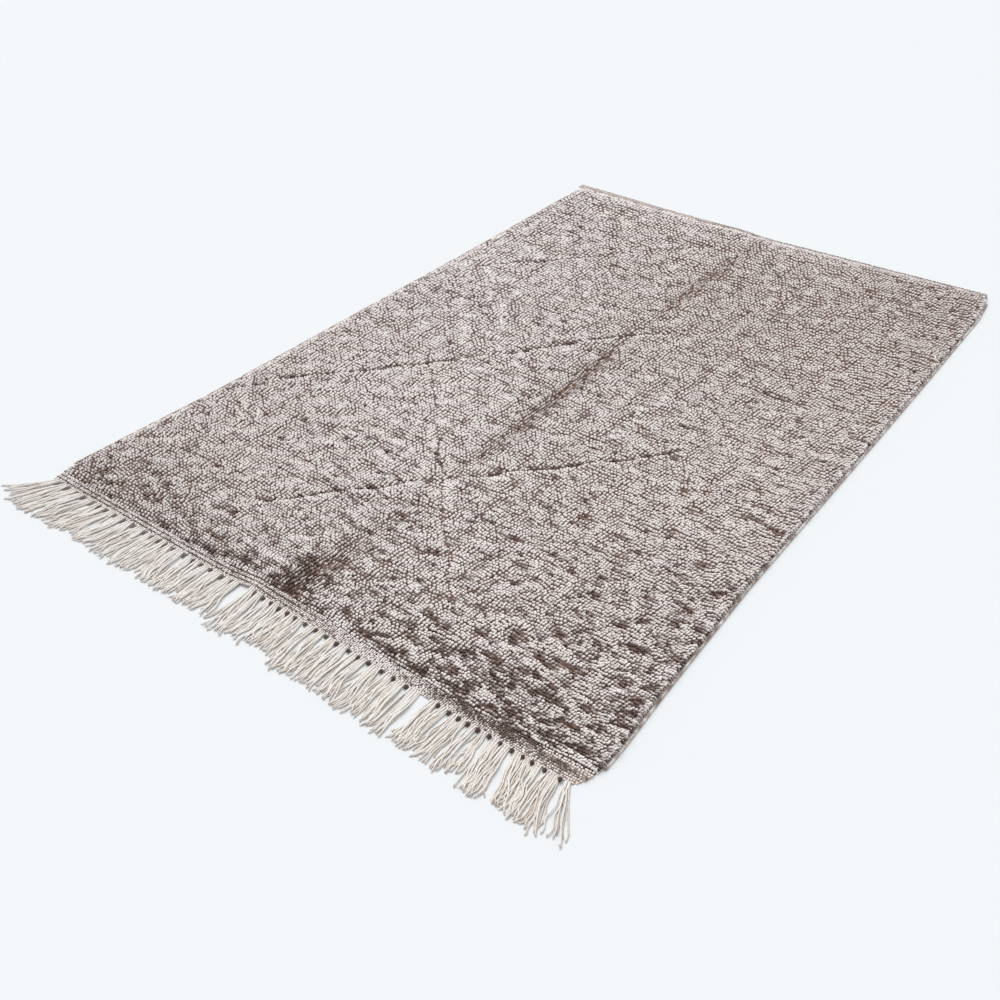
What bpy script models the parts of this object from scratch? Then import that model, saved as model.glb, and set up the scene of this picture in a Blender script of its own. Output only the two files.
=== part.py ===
"""A hand-knotted wool rug of the Beni Ourain kind, lying flat on a floor.

Metres, +Z up. X runs across the rug and Y along it, from the fringed end to the plain one.
The rug is five pieces: the knotted pile field, the flat-woven band with the warp fringe at
the near end, the woven edge at the far end, and a wrapped cord down each long side.

Every piece is drawn in loom coordinates, which start at the near left corner of the weave.
All the pieces then hang on one empty, which centres the rug over the origin on Z = 0.
"""

import math
from collections import namedtuple

import bmesh
import bpy
import numpy as np
from mathutils import Vector, noise

RUG_WIDTH = 1.600
PILE_HEIGHT = 0.017
WEAVE_THICKNESS = 0.003

# The pile field is a grid of cells, each split into four triangles from its middle, so the
# lines of the sunk trellis run along the cells' diagonals.
CELLS_PER_HALF_DIAMOND = 8
COLUMNS = 4 * CELLS_PER_HALF_DIAMOND
END_ROWS = 2
ROWS = 5 * CELLS_PER_HALF_DIAMOND + 2 * END_ROWS

# How the edge of the pile rolls over: the top stops short of the outline, the fullest line
# lies halfway down, and the foot is drawn in, more at the sides, where the cords lie.
SHOULDER_INSET = 0.010
SHOULDER_HEIGHT = 0.0135
FULLEST_HEIGHT = 0.009
SIDE_FOOT_INSET = 0.009
END_FOOT_INSET = 0.005
CORNER_ROUNDING = 0.75
TUFT_REACH = 0.0022

LUMPS_PER_METRE = Vector((7.0, 19.0, 1.0))
LUMP_HEIGHT = 0.0022
SWELLS_PER_METRE = 2.3
SWELL_HEIGHT = 0.0016

SIDE_CORD_RADIUS = 0.003
SIDE_CORD_INSET = -0.0003
SIDE_CORD_HEIGHT = SIDE_CORD_RADIUS * math.cos(math.pi / 6)

SideRow = namedtuple("SideRow", "y left right")
SIDES = (
    SideRow(0.00, -0.022, 1.578),
    SideRow(0.04, -0.028, 1.587),
    SideRow(0.08, -0.030, 1.595),
    SideRow(0.13, -0.030, 1.602),
    SideRow(0.20, -0.029, 1.606),
    SideRow(0.30, -0.026, 1.607),
    SideRow(0.70, -0.011, 1.605),
    SideRow(1.20, -0.008, 1.607),
    SideRow(1.75, 0.000, 1.606),
    SideRow(2.30, 0.006, 1.610),
    SideRow(2.42, 0.008, 1.621),
    SideRow(2.48, 0.008, 1.620),
    SideRow(2.51, 0.009, 1.608),
)

NearRow = namedtuple("NearRow", "x band_front pile_edge lift")
NEAR_END = (
    NearRow(-0.03, 0.002, 0.022, 0.0),
    NearRow(0.10, 0.003, 0.022, 0.0),
    NearRow(0.45, 0.006, 0.026, 0.0),
    NearRow(0.63, 0.009, 0.032, 0.001),
    NearRow(0.70, 0.016, 0.040, 0.006),
    NearRow(0.76, 0.014, 0.041, 0.001),
    NearRow(0.90, 0.012, 0.040, 0.0),
    NearRow(1.10, 0.007, 0.027, 0.0),
    NearRow(1.35, 0.005, 0.028, 0.0),
    NearRow(1.58, 0.005, 0.042, 0.0),
)

FarRow = namedtuple("FarRow", "x pile_edge band_edge")
FAR_END = (
    FarRow(0.01, 2.502, 2.512),
    FarRow(0.30, 2.490, 2.500),
    FarRow(0.62, 2.476, 2.484),
    FarRow(0.70, 2.475, 2.478),
    FarRow(0.80, 2.467, 2.469),
    FarRow(0.86, 2.465, 2.467),
    FarRow(0.98, 2.474, 2.476),
    FarRow(1.25, 2.488, 2.490),
    FarRow(1.48, 2.500, 2.502),
    FarRow(1.60, 2.508, 2.510),
)

# The rows of the trellis's crossings, as grid rows with their height at each side.
Level = namedtuple("Level", "row left_y right_y")
LEVELS = (
    Level(2, 0.140, 0.140),
    Level(10, 0.585, 0.585),
    Level(18, 1.000, 1.040),
    Level(26, 1.515, 1.500),
    Level(34, 1.920, 1.950),
    Level(42, 2.380, 2.380),
)

# The crease down the middle, where the rug has lain folded.
FoldRow = namedtuple("FoldRow", "y x depth")
FOLD = (
    FoldRow(0.05, 0.765, 0.0070),
    FoldRow(0.20, 0.778, 0.0060),
    FoldRow(0.58, 0.790, 0.0030),
    FoldRow(0.90, 0.800, 0.0050),
    FoldRow(1.20, 0.800, 0.0055),
    FoldRow(1.50, 0.786, 0.0045),
    FoldRow(1.90, 0.788, 0.0028),
    FoldRow(2.20, 0.800, 0.0018),
    FoldRow(2.48, 0.810, 0.0010),
)

# The sunk lines that show, counted in half diamonds from the near left crossing. A line
# that leans right keeps across - along the same, and one that leans left across + along.
Groove = namedtuple("Groove", "leans line from_across to_across depth")
RIGHT, LEFT = 1, -1
GROOVES = (
    Groove(RIGHT, 1, 1.10, 3.15, 0.0050),
    Groove(RIGHT, -1, 0.10, 2.45, 0.0050),
    Groove(RIGHT, -3, 0.15, 1.90, 0.0045),
    Groove(RIGHT, 3, 3.10, 3.90, 0.0015),
    Groove(LEFT, 3, 0.75, 2.85, 0.0040),
    Groove(LEFT, 5, 2.80, 3.70, 0.0030),
    Groove(LEFT, 7, 3.10, 3.70, 0.0025),
    Groove(LEFT, 5, 1.10, 2.00, 0.0015),
    Groove(LEFT, 7, 2.10, 2.90, 0.0015),
)

# A soft ridge runs in from the pucker of the near end, just left of the crease.
RIDGE_COLUMN = 15
RIDGE_HEIGHT = 0.005
RIDGE_REACH = 0.30

# The near band: how far its rows lie from its front edge, as shares of its width. The two
# ribs are twined cords, which run along the pile left of the pucker and at the fringe after.
NEAR_BAND_TUCK = 0.0006
BAND_END_MARGIN = 0.005
CORDS_PER_SECTION = 6
STRAND_THICKNESS = 0.0024
RIB_HEIGHT = 0.0052
RIB_HALF_WIDTH = 0.08
RibRow = namedtuple("RibRow", "x front_rib back_rib")
RIBS = (
    RibRow(-0.03, 0.54, 0.80),
    RibRow(0.62, 0.56, 0.82),
    RibRow(0.70, 0.40, 0.64),
    RibRow(0.76, 0.24, 0.46),
    RibRow(1.10, 0.24, 0.46),
    RibRow(1.58, 0.26, 0.48),
)

# The fringe, clump by clump: where its cords leave the band and where their ends lie.
Clump = namedtuple("Clump", "root_from root_to tip_from tip_to tip_y sway")
CLUMPS = (
    Clump(-0.008, 0.020, -0.078, -0.056, -0.100, -0.003),
    Clump(0.024, 0.054, -0.044, 0.008, -0.120, -0.006),
    Clump(0.060, 0.118, 0.020, 0.064, -0.124, -0.005),
    Clump(0.126, 0.153, 0.096, 0.122, -0.118, -0.004),
    Clump(0.159, 0.203, 0.130, 0.164, -0.117, 0.003),
    Clump(0.209, 0.235, 0.180, 0.206, -0.110, 0.003),
    Clump(0.242, 0.305, 0.214, 0.284, -0.113, 0.002),
    Clump(0.311, 0.350, 0.290, 0.342, -0.117, 0.001),
    Clump(0.356, 0.400, 0.350, 0.392, -0.116, -0.003),
    Clump(0.406, 0.446, 0.399, 0.438, -0.114, 0.002),
    Clump(0.452, 0.491, 0.458, 0.501, -0.112, -0.004),
    Clump(0.497, 0.547, 0.508, 0.542, -0.111, 0.003),
    Clump(0.553, 0.576, 0.549, 0.568, -0.101, -0.002),
    Clump(0.582, 0.620, 0.576, 0.608, -0.111, 0.001),
    Clump(0.626, 0.675, 0.618, 0.674, -0.107, -0.001),
    Clump(0.697, 0.745, 0.704, 0.750, -0.119, 0.004),
    Clump(0.751, 0.797, 0.757, 0.800, -0.112, 0.007),
    Clump(0.803, 0.875, 0.810, 0.872, -0.100, 0.004),
    Clump(0.887, 0.941, 0.900, 0.942, -0.121, -0.003),
    Clump(0.947, 1.010, 0.950, 1.007, -0.115, 0.002),
    Clump(1.018, 1.066, 1.024, 1.062, -0.119, -0.003),
    Clump(1.072, 1.105, 1.071, 1.104, -0.121, 0.002),
    Clump(1.111, 1.172, 1.112, 1.170, -0.116, 0.000),
    Clump(1.178, 1.213, 1.179, 1.212, -0.123, 0.003),
    Clump(1.233, 1.289, 1.236, 1.274, -0.116, -0.003),
    Clump(1.295, 1.334, 1.284, 1.334, -0.119, 0.002),
    Clump(1.340, 1.359, 1.347, 1.364, -0.124, -0.002),
    Clump(1.365, 1.384, 1.373, 1.391, -0.104, 0.002),
    Clump(1.391, 1.441, 1.420, 1.458, -0.127, -0.003),
    Clump(1.447, 1.514, 1.474, 1.528, -0.118, 0.002),
    Clump(1.520, 1.558, 1.540, 1.582, -0.128, -0.002),
    Clump(1.563, 1.578, 1.598, 1.637, -0.112, 0.002),
)
CORD_PITCH = 0.0066
CORDS_IN_GROUP = 3
GROUP_PINCH = 0.0012
STATIONS = (0.0, 0.42, 0.90, 1.0)
ROOT_TOLERANCE = 0.0002

FAR_SECTIONS = 32
FAR_BAND_TUCK = 0.0014
FAR_BAND_STOP = 0.006

Colour = namedtuple("Colour", "red green blue roughness")
PILE_COLOUR = Colour(0.42, 0.36, 0.33, 0.95)
WEAVE_COLOUR = Colour(0.72, 0.66, 0.57, 0.90)
SIDE_CORD_COLOUR = Colour(0.38, 0.32, 0.27, 0.90)


def read(table, at, column):
    """The value of a table's column at a place between its rows, which its first column names."""
    return float(np.interp(at, [row[0] for row in table], [getattr(row, column) for row in table]))


def mix(start, end, share):
    return start + (end - start) * share


def fresh_collection(name):
    """An empty scene with one collection in it."""
    for found in list(bpy.data.objects):
        bpy.data.objects.remove(found, do_unlink=True)
    collection = bpy.data.collections.new(name)
    bpy.context.scene.collection.children.link(collection)
    return collection


def wool(name, colour):
    material = bpy.data.materials.new(name)
    material.use_nodes = True
    shader = material.node_tree.nodes["Principled BSDF"]
    shader.inputs["Base Color"].default_value = (colour.red, colour.green, colour.blue, 1.0)
    shader.inputs["Roughness"].default_value = colour.roughness
    shader.inputs["Metallic"].default_value = 0.0
    return material


def finished(name, mesh_cage, material, collection):
    """The object of a finished cage, with its faces turned out."""
    bmesh.ops.recalc_face_normals(mesh_cage, faces=mesh_cage.faces)
    mesh = bpy.data.meshes.new(name)
    mesh_cage.to_mesh(mesh)
    mesh_cage.free()
    mesh.materials.append(material)
    made = bpy.data.objects.new(name, mesh)
    collection.objects.link(made)
    return made


def flat_grid(columns, rows):
    """A grid of unit cells whose near left corner is the origin."""
    cage = bmesh.new()
    bmesh.ops.create_grid(cage, x_segments=columns, y_segments=rows, size=0.5)
    bmesh.ops.translate(cage, vec=(0.5, 0.5, 0.0), verts=cage.verts)
    bmesh.ops.scale(cage, vec=(columns, rows, 1.0), verts=cage.verts)
    return cage


def extruded_rim(cage):
    """Extrudes the open edge of a cage by one step down and returns the new edges."""
    rim = [edge for edge in cage.edges if edge.is_boundary]
    grown = bmesh.ops.extrude_edge_only(cage, edges=rim)["geom"]
    corners = [item for item in grown if isinstance(item, bmesh.types.BMVert)]
    bmesh.ops.translate(cage, vec=(0.0, 0.0, -1.0), verts=corners)
    return [edge for edge in cage.edges if edge.is_boundary]


def groove_depth(column, row):
    """How deep the trellis is sunk at a grid point, or 0 off its lines."""
    across = column / CELLS_PER_HALF_DIAMOND
    along = (row - END_ROWS) / CELLS_PER_HALF_DIAMOND
    depth = 0.0
    for groove in GROOVES:
        on_line = math.isclose(across - groove.leans * along, groove.line, abs_tol=1e-3)
        if on_line and groove.from_across <= across <= groove.to_across:
            depth = max(depth, groove.depth)
    return depth


def pile_place(column, row):
    """Where a point of the pile's grid lies on the floor."""
    across = column / COLUMNS
    x = across * RUG_WIDTH
    rows = [0, *(level.row for level in LEVELS), ROWS]
    heights = [
        read(NEAR_END, x, "pile_edge") + SHOULDER_INSET,
        *(mix(level.left_y, level.right_y, across) for level in LEVELS),
        read(FAR_END, x, "pile_edge") - SHOULDER_INSET,
    ]
    y = float(np.interp(row, rows, heights))
    x = float(
        np.interp(
            column / CELLS_PER_HALF_DIAMOND,
            range(5),
            (
                read(SIDES, y, "left") + SHOULDER_INSET,
                RUG_WIDTH / 4,
                read(FOLD, y, "x"),
                RUG_WIDTH * 3 / 4,
                read(SIDES, y, "right") - SHOULDER_INSET,
            ),
        )
    )
    return x, y


def pile_top(column, row, x, y):
    """The height of the pile: lumpy, swelling between the sunk lines and lower at the crease."""
    lumps = noise.noise(Vector((x, y, 0.0)) * LUMPS_PER_METRE) * LUMP_HEIGHT
    swell = noise.noise(Vector((x, y, 5.0)) * SWELLS_PER_METRE) * SWELL_HEIGHT
    height = PILE_HEIGHT + lumps + swell - groove_depth(column, row)
    if math.isclose(column, COLUMNS / 2):
        height -= read(FOLD, y, "depth")
    if math.isclose(column, RIDGE_COLUMN):
        height += RIDGE_HEIGHT * max(0.0, 1.0 - y / RIDGE_REACH)
    return height


def pile_point(cage_point):
    """Maps a point of the pile's cage, as column, row and step down its edge, to the rug."""
    column, row, step = cage_point
    x, y = pile_place(column, row)
    out_x = (column > COLUMNS - 0.1) - (column < 0.1)
    out_y = (row > ROWS - 0.1) - (row < 0.1)
    if not (out_x or out_y):
        return Vector((x, y, pile_top(column, row, x, y)))
    if step > -0.5:
        return Vector((x, y, SHOULDER_HEIGHT + noise.noise(Vector((x, y, 0.0)) * 40.0) * LUMP_HEIGHT))
    if step > -1.5:
        tuft = TUFT_REACH if math.isclose((column + row) % 1.0, 0.0) else -TUFT_REACH
        reach = SHOULDER_INSET + tuft
        if out_x and out_y:
            reach *= CORNER_ROUNDING
        return Vector((x + out_x * reach, y + out_y * reach, FULLEST_HEIGHT))
    foot_x = out_x * (SHOULDER_INSET - SIDE_FOOT_INSET)
    foot_y = out_y * (SHOULDER_INSET - END_FOOT_INSET)
    return Vector((x + foot_x, y + foot_y, 0.0))


def pile_field(collection, material):
    cage = flat_grid(COLUMNS, ROWS)
    bmesh.ops.poke(cage, faces=cage.faces)
    rim = [edge for edge in cage.edges if edge.is_boundary]
    bmesh.ops.subdivide_edges(cage, edges=rim, cuts=1)
    extruded_rim(cage)
    foot = extruded_rim(cage)
    bmesh.ops.contextual_create(cage, geom=foot)
    for vertex in cage.verts:
        vertex.co = pile_point(vertex.co)
    return finished("pile_field", cage, material, collection)


Strand = namedtuple("Strand", "root tip tip_y sway")


def strands():
    """Every cord of the fringe, in order from the left. Each few are pinched into a group."""
    made = []
    for clump in CLUMPS:
        count = round((clump.root_to - clump.root_from) / CORD_PITCH) + 1
        for number in range(count):
            share = number / (count - 1)
            in_group = number % CORDS_IN_GROUP - (CORDS_IN_GROUP - 1) / 2
            root = mix(clump.root_from, clump.root_to, share) - in_group * GROUP_PINCH
            tip = mix(clump.tip_from, clump.tip_to, share)
            uneven = noise.noise(Vector((root * 61.0, 0.0, 3.0))) * 0.008
            made.append(Strand(root, tip, clump.tip_y + uneven, clump.sway))
    return made


def strand_corner(strand, side, upper, station):
    """A corner of a cord at a station between its root and its tip, resting level on the floor."""
    share = STATIONS[station]
    front = read(NEAR_END, strand.root, "band_front")
    x = mix(strand.root, strand.tip, share ** 1.3) + strand.sway * math.sin(math.pi * share)
    y = mix(front, strand.tip_y, share)
    z = read(NEAR_END, strand.root, "lift") * (1.0 - share) ** 2
    if station == len(STATIONS) - 1:
        return Vector((x, y, STRAND_THICKNESS / 2))
    return Vector((x + side * STRAND_THICKNESS / 2, y, z + upper * STRAND_THICKNESS))


def band_rows(x):
    """How far the rows of the near band lie behind its front edge, as shares, and their heights."""
    front_rib = read(RIBS, x, "front_rib")
    back_rib = read(RIBS, x, "back_rib")
    shares = (
        0.0,
        front_rib - RIB_HALF_WIDTH,
        front_rib,
        front_rib + RIB_HALF_WIDTH,
        back_rib - RIB_HALF_WIDTH,
        back_rib,
        back_rib + RIB_HALF_WIDTH,
        1.0,
    )
    flat = WEAVE_THICKNESS
    heights = (STRAND_THICKNESS, flat, RIB_HEIGHT, flat, flat, RIB_HEIGHT, flat, flat)
    return shares, heights


def band_point(x, row, lower):
    """Maps a point of the near band's cage to the rug."""
    shares, heights = band_rows(x)
    front = read(NEAR_END, x, "band_front")
    back = read(NEAR_END, x, "pile_edge") + NEAR_BAND_TUCK
    y = mix(front, back, shares[row])
    lift = read(NEAR_END, x, "lift") * (1.0 - shares[row] ** 2)
    return Vector((x, y, lift + (0.0 if lower else heights[row])))


def section_places(cords):
    """Where the near band's sections meet: at its two ends, and midway between cords."""
    meets = [CLUMPS[0].root_from - BAND_END_MARGIN]
    for number in range(CORDS_PER_SECTION, len(cords) - 1, CORDS_PER_SECTION):
        meets.append((cords[number - 1].root + cords[number].root) / 2)
    meets.append(CLUMPS[-1].root_to + BAND_END_MARGIN)
    return meets


def split_front(cage, places):
    """Adds a point to the front edge of a cage at each of these places along it."""
    for place in places:
        for edge in cage.edges:
            start, end = sorted(edge.verts, key=lambda vertex: vertex.co.x)
            if end.co.y < 0.5 and start.co.y < 0.5 and start.co.x < place < end.co.x:
                share = (place - start.co.x) / (end.co.x - start.co.x)
                bmesh.utils.edge_split(edge, start, share)
                break


def thickened(cage):
    """Gives a flat cage a lower side, one step down."""
    grown = bmesh.ops.extrude_face_region(cage, geom=list(cage.faces))["geom"]
    corners = [item for item in grown if isinstance(item, bmesh.types.BMVert)]
    bmesh.ops.translate(cage, vec=(0.0, 0.0, -1.0), verts=corners)


def join_lower_rows(cage, places):
    """Makes the lower side of each section one face."""
    for start, end in zip(places, places[1:]):
        faces = []
        for face in cage.faces:
            middle = face.calc_center_median()
            if middle.z < -0.9 and start < middle.x < end:
                faces.append(face)
        bmesh.ops.dissolve_faces(cage, faces=faces, use_verts=True)


def draw_out_cords(cage, cords):
    """Extrudes each cord, station by station, from its own face on the front edge."""
    roots = np.array([cord.root for cord in cords])
    faces = []
    for face in cage.faces:
        middle = face.calc_center_median()
        if middle.y < 0.01 and np.abs(roots - middle.x).min() < ROOT_TOLERANCE:
            faces.append(face)
    for _ in STATIONS[1:]:
        faces = bmesh.ops.extrude_discrete_faces(cage, faces=faces)["faces"]
        corners = [vertex for face in faces for vertex in face.verts]
        bmesh.ops.translate(cage, vec=(0.0, -1.0, 0.0), verts=corners)


def near_end_band(collection, material):
    """The flat-woven band, with every cord of the fringe drawn out of its front edge."""
    cords = strands()
    roots = np.array([cord.root for cord in cords])
    places = section_places(cords)
    last_row = len(band_rows(places[0])[0]) - 1
    cage = flat_grid(len(places) - 1, last_row)
    for vertex in cage.verts:
        vertex.co.x = places[round(vertex.co.x)]
    half = STRAND_THICKNESS / 2
    split_front(cage, [cord.root + side * half for cord in cords for side in (-1, 1)])
    thickened(cage)
    join_lower_rows(cage, places)
    draw_out_cords(cage, cords)
    tips = []
    for vertex in cage.verts:
        x, row, step = vertex.co
        station = max(0, round(-row))
        if station == 0:
            vertex.co = band_point(x, round(row), step < -0.5)
            continue
        cord = cords[int(np.abs(roots - x).argmin())]
        vertex.co = strand_corner(cord, math.copysign(1, x - cord.root), step > -0.5, station)
        if station == len(STATIONS) - 1:
            tips.append(vertex)
    bmesh.ops.remove_doubles(cage, verts=tips, dist=1e-6)
    return finished("near_end_band", cage, material, collection)


def far_end_band(collection, material):
    """The woven edge that shows past the pile at the far end."""
    left = FAR_END[0].x
    right = FAR_END[-1].x - FAR_BAND_STOP
    cage = flat_grid(FAR_SECTIONS, 1)
    thickened(cage)
    for vertex in cage.verts:
        x = mix(left, right, vertex.co.x / FAR_SECTIONS)
        if vertex.co.y > 0.5:
            y = read(FAR_END, x, "band_edge")
        else:
            y = read(FAR_END, x, "pile_edge") - FAR_BAND_TUCK
        vertex.co = Vector((x, y, WEAVE_THICKNESS if vertex.co.z > -0.5 else 0.0))
    return finished("far_end_band", cage, material, collection)


def side_cord(name, side, collection, material):
    """A wrapped cord down one long side, half under the pile's edge."""
    inward = 1 if side == "left" else -1
    curve = bpy.data.curves.new(name, "CURVE")
    curve.dimensions = "3D"
    curve.bevel_depth = SIDE_CORD_RADIUS
    curve.bevel_resolution = 1
    curve.use_fill_caps = True
    column = 0 if side == "left" else COLUMNS
    route = curve.splines.new("POLY")
    route.points.add(ROWS - 2)
    for row, point in enumerate(route.points, start=1):
        x, y = pile_place(column, row)
        outline = x - inward * SHOULDER_INSET
        point.co = (outline + inward * SIDE_CORD_INSET, y, SIDE_CORD_HEIGHT, 1.0)
    curve.materials.append(material)
    made = bpy.data.objects.new(name, curve)
    collection.objects.link(made)
    return made


def centred_on_floor(pieces, collection):
    """Hangs the pieces on an empty that puts the middle of the rug's outline over the origin."""
    graph = bpy.context.evaluated_depsgraph_get()
    corners = []
    for piece in pieces:
        mesh = piece.evaluated_get(graph).to_mesh()
        corners.extend(tuple(vertex.co) for vertex in mesh.vertices)
        piece.evaluated_get(graph).to_mesh_clear()
    corners = np.array(corners)
    middle = (corners.min(axis=0) + corners.max(axis=0)) / 2
    loom = bpy.data.objects.new("loom_corner", None)
    loom.location = (-middle[0], -middle[1], 0.0)
    collection.objects.link(loom)
    for piece in pieces:
        piece.parent = loom


def main():
    collection = fresh_collection("beni_ourain_rug")
    pile_wool = wool("pile_wool", PILE_COLOUR)
    weave_wool = wool("weave_wool", WEAVE_COLOUR)
    cord_wool = wool("side_cord_wool", SIDE_CORD_COLOUR)
    pieces = [
        pile_field(collection, pile_wool),
        near_end_band(collection, weave_wool),
        far_end_band(collection, weave_wool),
        side_cord("selvedge_left", "left", collection, cord_wool),
        side_cord("selvedge_right", "right", collection, cord_wool),
    ]
    centred_on_floor(pieces, collection)


main()
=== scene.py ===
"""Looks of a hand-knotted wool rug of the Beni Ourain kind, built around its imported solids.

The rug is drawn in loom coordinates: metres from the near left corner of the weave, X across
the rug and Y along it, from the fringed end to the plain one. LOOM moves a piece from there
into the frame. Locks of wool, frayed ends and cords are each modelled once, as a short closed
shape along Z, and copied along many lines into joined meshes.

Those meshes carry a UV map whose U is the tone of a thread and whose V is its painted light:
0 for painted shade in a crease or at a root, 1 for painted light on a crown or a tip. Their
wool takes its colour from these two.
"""

import math
from collections import namedtuple

import bpy
import numpy as np
from bpy.props import FloatProperty, FloatVectorProperty, PointerProperty
from mathutils import Matrix, Vector, noise


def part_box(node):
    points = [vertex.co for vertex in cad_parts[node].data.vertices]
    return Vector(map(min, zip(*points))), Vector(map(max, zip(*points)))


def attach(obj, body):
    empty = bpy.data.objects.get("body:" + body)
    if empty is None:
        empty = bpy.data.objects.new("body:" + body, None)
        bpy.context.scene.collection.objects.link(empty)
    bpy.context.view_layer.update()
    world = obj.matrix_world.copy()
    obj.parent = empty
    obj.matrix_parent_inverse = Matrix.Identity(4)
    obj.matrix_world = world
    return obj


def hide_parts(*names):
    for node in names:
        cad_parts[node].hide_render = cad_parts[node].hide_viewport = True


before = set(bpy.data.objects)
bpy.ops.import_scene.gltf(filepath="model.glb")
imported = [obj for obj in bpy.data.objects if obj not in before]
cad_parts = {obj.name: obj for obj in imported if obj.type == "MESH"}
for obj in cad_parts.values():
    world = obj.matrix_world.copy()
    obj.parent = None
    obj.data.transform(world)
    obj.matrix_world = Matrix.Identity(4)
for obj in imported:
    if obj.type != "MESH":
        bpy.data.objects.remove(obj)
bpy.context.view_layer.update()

bl_info = {
    "name": "Beni Ourain Rug",
    "version": (1, 0, 0),
    "blender": (4, 5, 0),
    "location": "3D View > Sidebar > Rug",
    "description": "Dresses the solids of a hand-knotted wool rug with its pile, weave and fringe",
    "category": "Add Mesh",
}

UV_NAME = "OFBake"
SEED = 7

# ------------------------------------------------------------------ the rug's plan

RUG_WIDTH = 1.600
PILE_HEIGHT = 0.017
ROWS = 44
END_ROWS = 2
HALF_DIAMOND = 8
HALF_DIAMOND_WIDTH = RUG_WIDTH / 4
HALF_DIAMOND_LENGTH = 0.450
SHOULDER_INSET = 0.010
SIDE_FOOT_INSET = 0.009
END_FOOT_INSET = 0.005

SideRow = namedtuple("SideRow", "y left right")
SIDES = (
    SideRow(0.00, -0.018, 1.580),
    SideRow(0.02, -0.0205, 1.598),
    SideRow(0.04, -0.023, 1.607),
    SideRow(0.08, -0.024, 1.612),
    SideRow(0.13, -0.021, 1.613),
    SideRow(0.20, -0.018, 1.611),
    SideRow(0.30, -0.012, 1.608),
    SideRow(0.50, -0.001, 1.606),
    SideRow(0.70, 0.001, 1.605),
    SideRow(1.20, 0.005, 1.616),
    SideRow(1.75, 0.008, 1.626),
    SideRow(2.30, 0.006, 1.632),
    SideRow(2.42, 0.009, 1.621),
    SideRow(2.48, 0.010, 1.610),
    SideRow(2.51, 0.012, 1.594),
)

NearRow = namedtuple("NearRow", "x band_front pile_edge lift")
NEAR_END = (
    NearRow(-0.03, 0.002, 0.022, 0.0),
    NearRow(0.10, 0.003, 0.022, 0.0),
    NearRow(0.45, 0.006, 0.026, 0.0),
    NearRow(0.63, 0.009, 0.032, 0.001),
    NearRow(0.70, 0.016, 0.040, 0.006),
    NearRow(0.76, 0.014, 0.041, 0.001),
    NearRow(0.90, 0.012, 0.040, 0.0),
    NearRow(1.10, 0.007, 0.027, 0.0),
    NearRow(1.35, 0.005, 0.028, 0.0),
    NearRow(1.55, 0.004, 0.041, 0.0),
    NearRow(1.585, 0.006, 0.043, 0.0),
)

FarRow = namedtuple("FarRow", "x pile_edge band_edge")
FAR_END = (
    FarRow(0.01, 2.464, 2.490),
    FarRow(0.12, 2.462, 2.488),
    FarRow(0.24, 2.460, 2.485),
    FarRow(0.36, 2.454, 2.477),
    FarRow(0.62, 2.456, 2.476),
    FarRow(0.70, 2.464, 2.476),
    FarRow(0.80, 2.453, 2.464),
    FarRow(0.86, 2.451, 2.462),
    FarRow(0.98, 2.459, 2.469),
    FarRow(1.25, 2.468, 2.478),
    FarRow(1.48, 2.478, 2.488),
    FarRow(1.60, 2.486, 2.496),
)

# The rows of the trellis's crossings, as grid rows with their height at each side.
Level = namedtuple("Level", "row left_y right_y")
LEVELS = (
    Level(2, 0.140, 0.140),
    Level(10, 0.585, 0.585),
    Level(18, 1.000, 1.040),
    Level(26, 1.515, 1.500),
    Level(34, 1.920, 1.950),
    Level(42, 2.380, 2.380),
)

FoldRow = namedtuple("FoldRow", "y x depth")
FOLD = (
    FoldRow(0.05, 0.765, 0.0070),
    FoldRow(0.20, 0.778, 0.0060),
    FoldRow(0.58, 0.790, 0.0030),
    FoldRow(0.90, 0.800, 0.0050),
    FoldRow(1.20, 0.800, 0.0055),
    FoldRow(1.50, 0.786, 0.0045),
    FoldRow(1.90, 0.788, 0.0028),
    FoldRow(2.20, 0.800, 0.0018),
    FoldRow(2.48, 0.810, 0.0010),
)

# The sunk lines that show, counted in half diamonds from the near left crossing. A line
# that leans right keeps across - along the same, and one that leans left across + along.
# The last two columns are how dark a line is, as painted shade, and how light the roll of pile
# beside it, as painted light.
Groove = namedtuple("Groove", "leans line from_across to_across depth dark light")
RIGHT, LEFT = 1, -1
GROOVES = (
    Groove(RIGHT, 1, 1.10, 2.02, 0.0050, 0.40, 1.50),
    Groove(RIGHT, 1, 2.02, 3.15, 0.0050, 1.00, 1.00),
    Groove(RIGHT, -1, 0.10, 1.30, 0.0050, 1.00, 1.00),
    Groove(RIGHT, -1, 1.30, 2.45, 0.0050, 0.45, 1.00),
    Groove(RIGHT, -3, 0.15, 1.90, 0.0045, 0.60, 0.60),
    Groove(RIGHT, 3, 3.10, 3.90, 0.0015, 1.00, 0.60),
    Groove(LEFT, 3, 0.75, 1.50, 0.0040, 0.40, 0.60),
    Groove(LEFT, 3, 1.50, 2.85, 0.0040, 0.60, 0.90),
    Groove(LEFT, 5, 2.80, 3.70, 0.0030, 0.80, 0.70),
    Groove(LEFT, 7, 3.10, 3.70, 0.0025, 0.80, 0.60),
    Groove(LEFT, 5, 1.10, 2.00, 0.0015, 0.80, 0.60),
    Groove(LEFT, 7, 2.10, 2.90, 0.0015, 0.80, 0.60),
)

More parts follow.
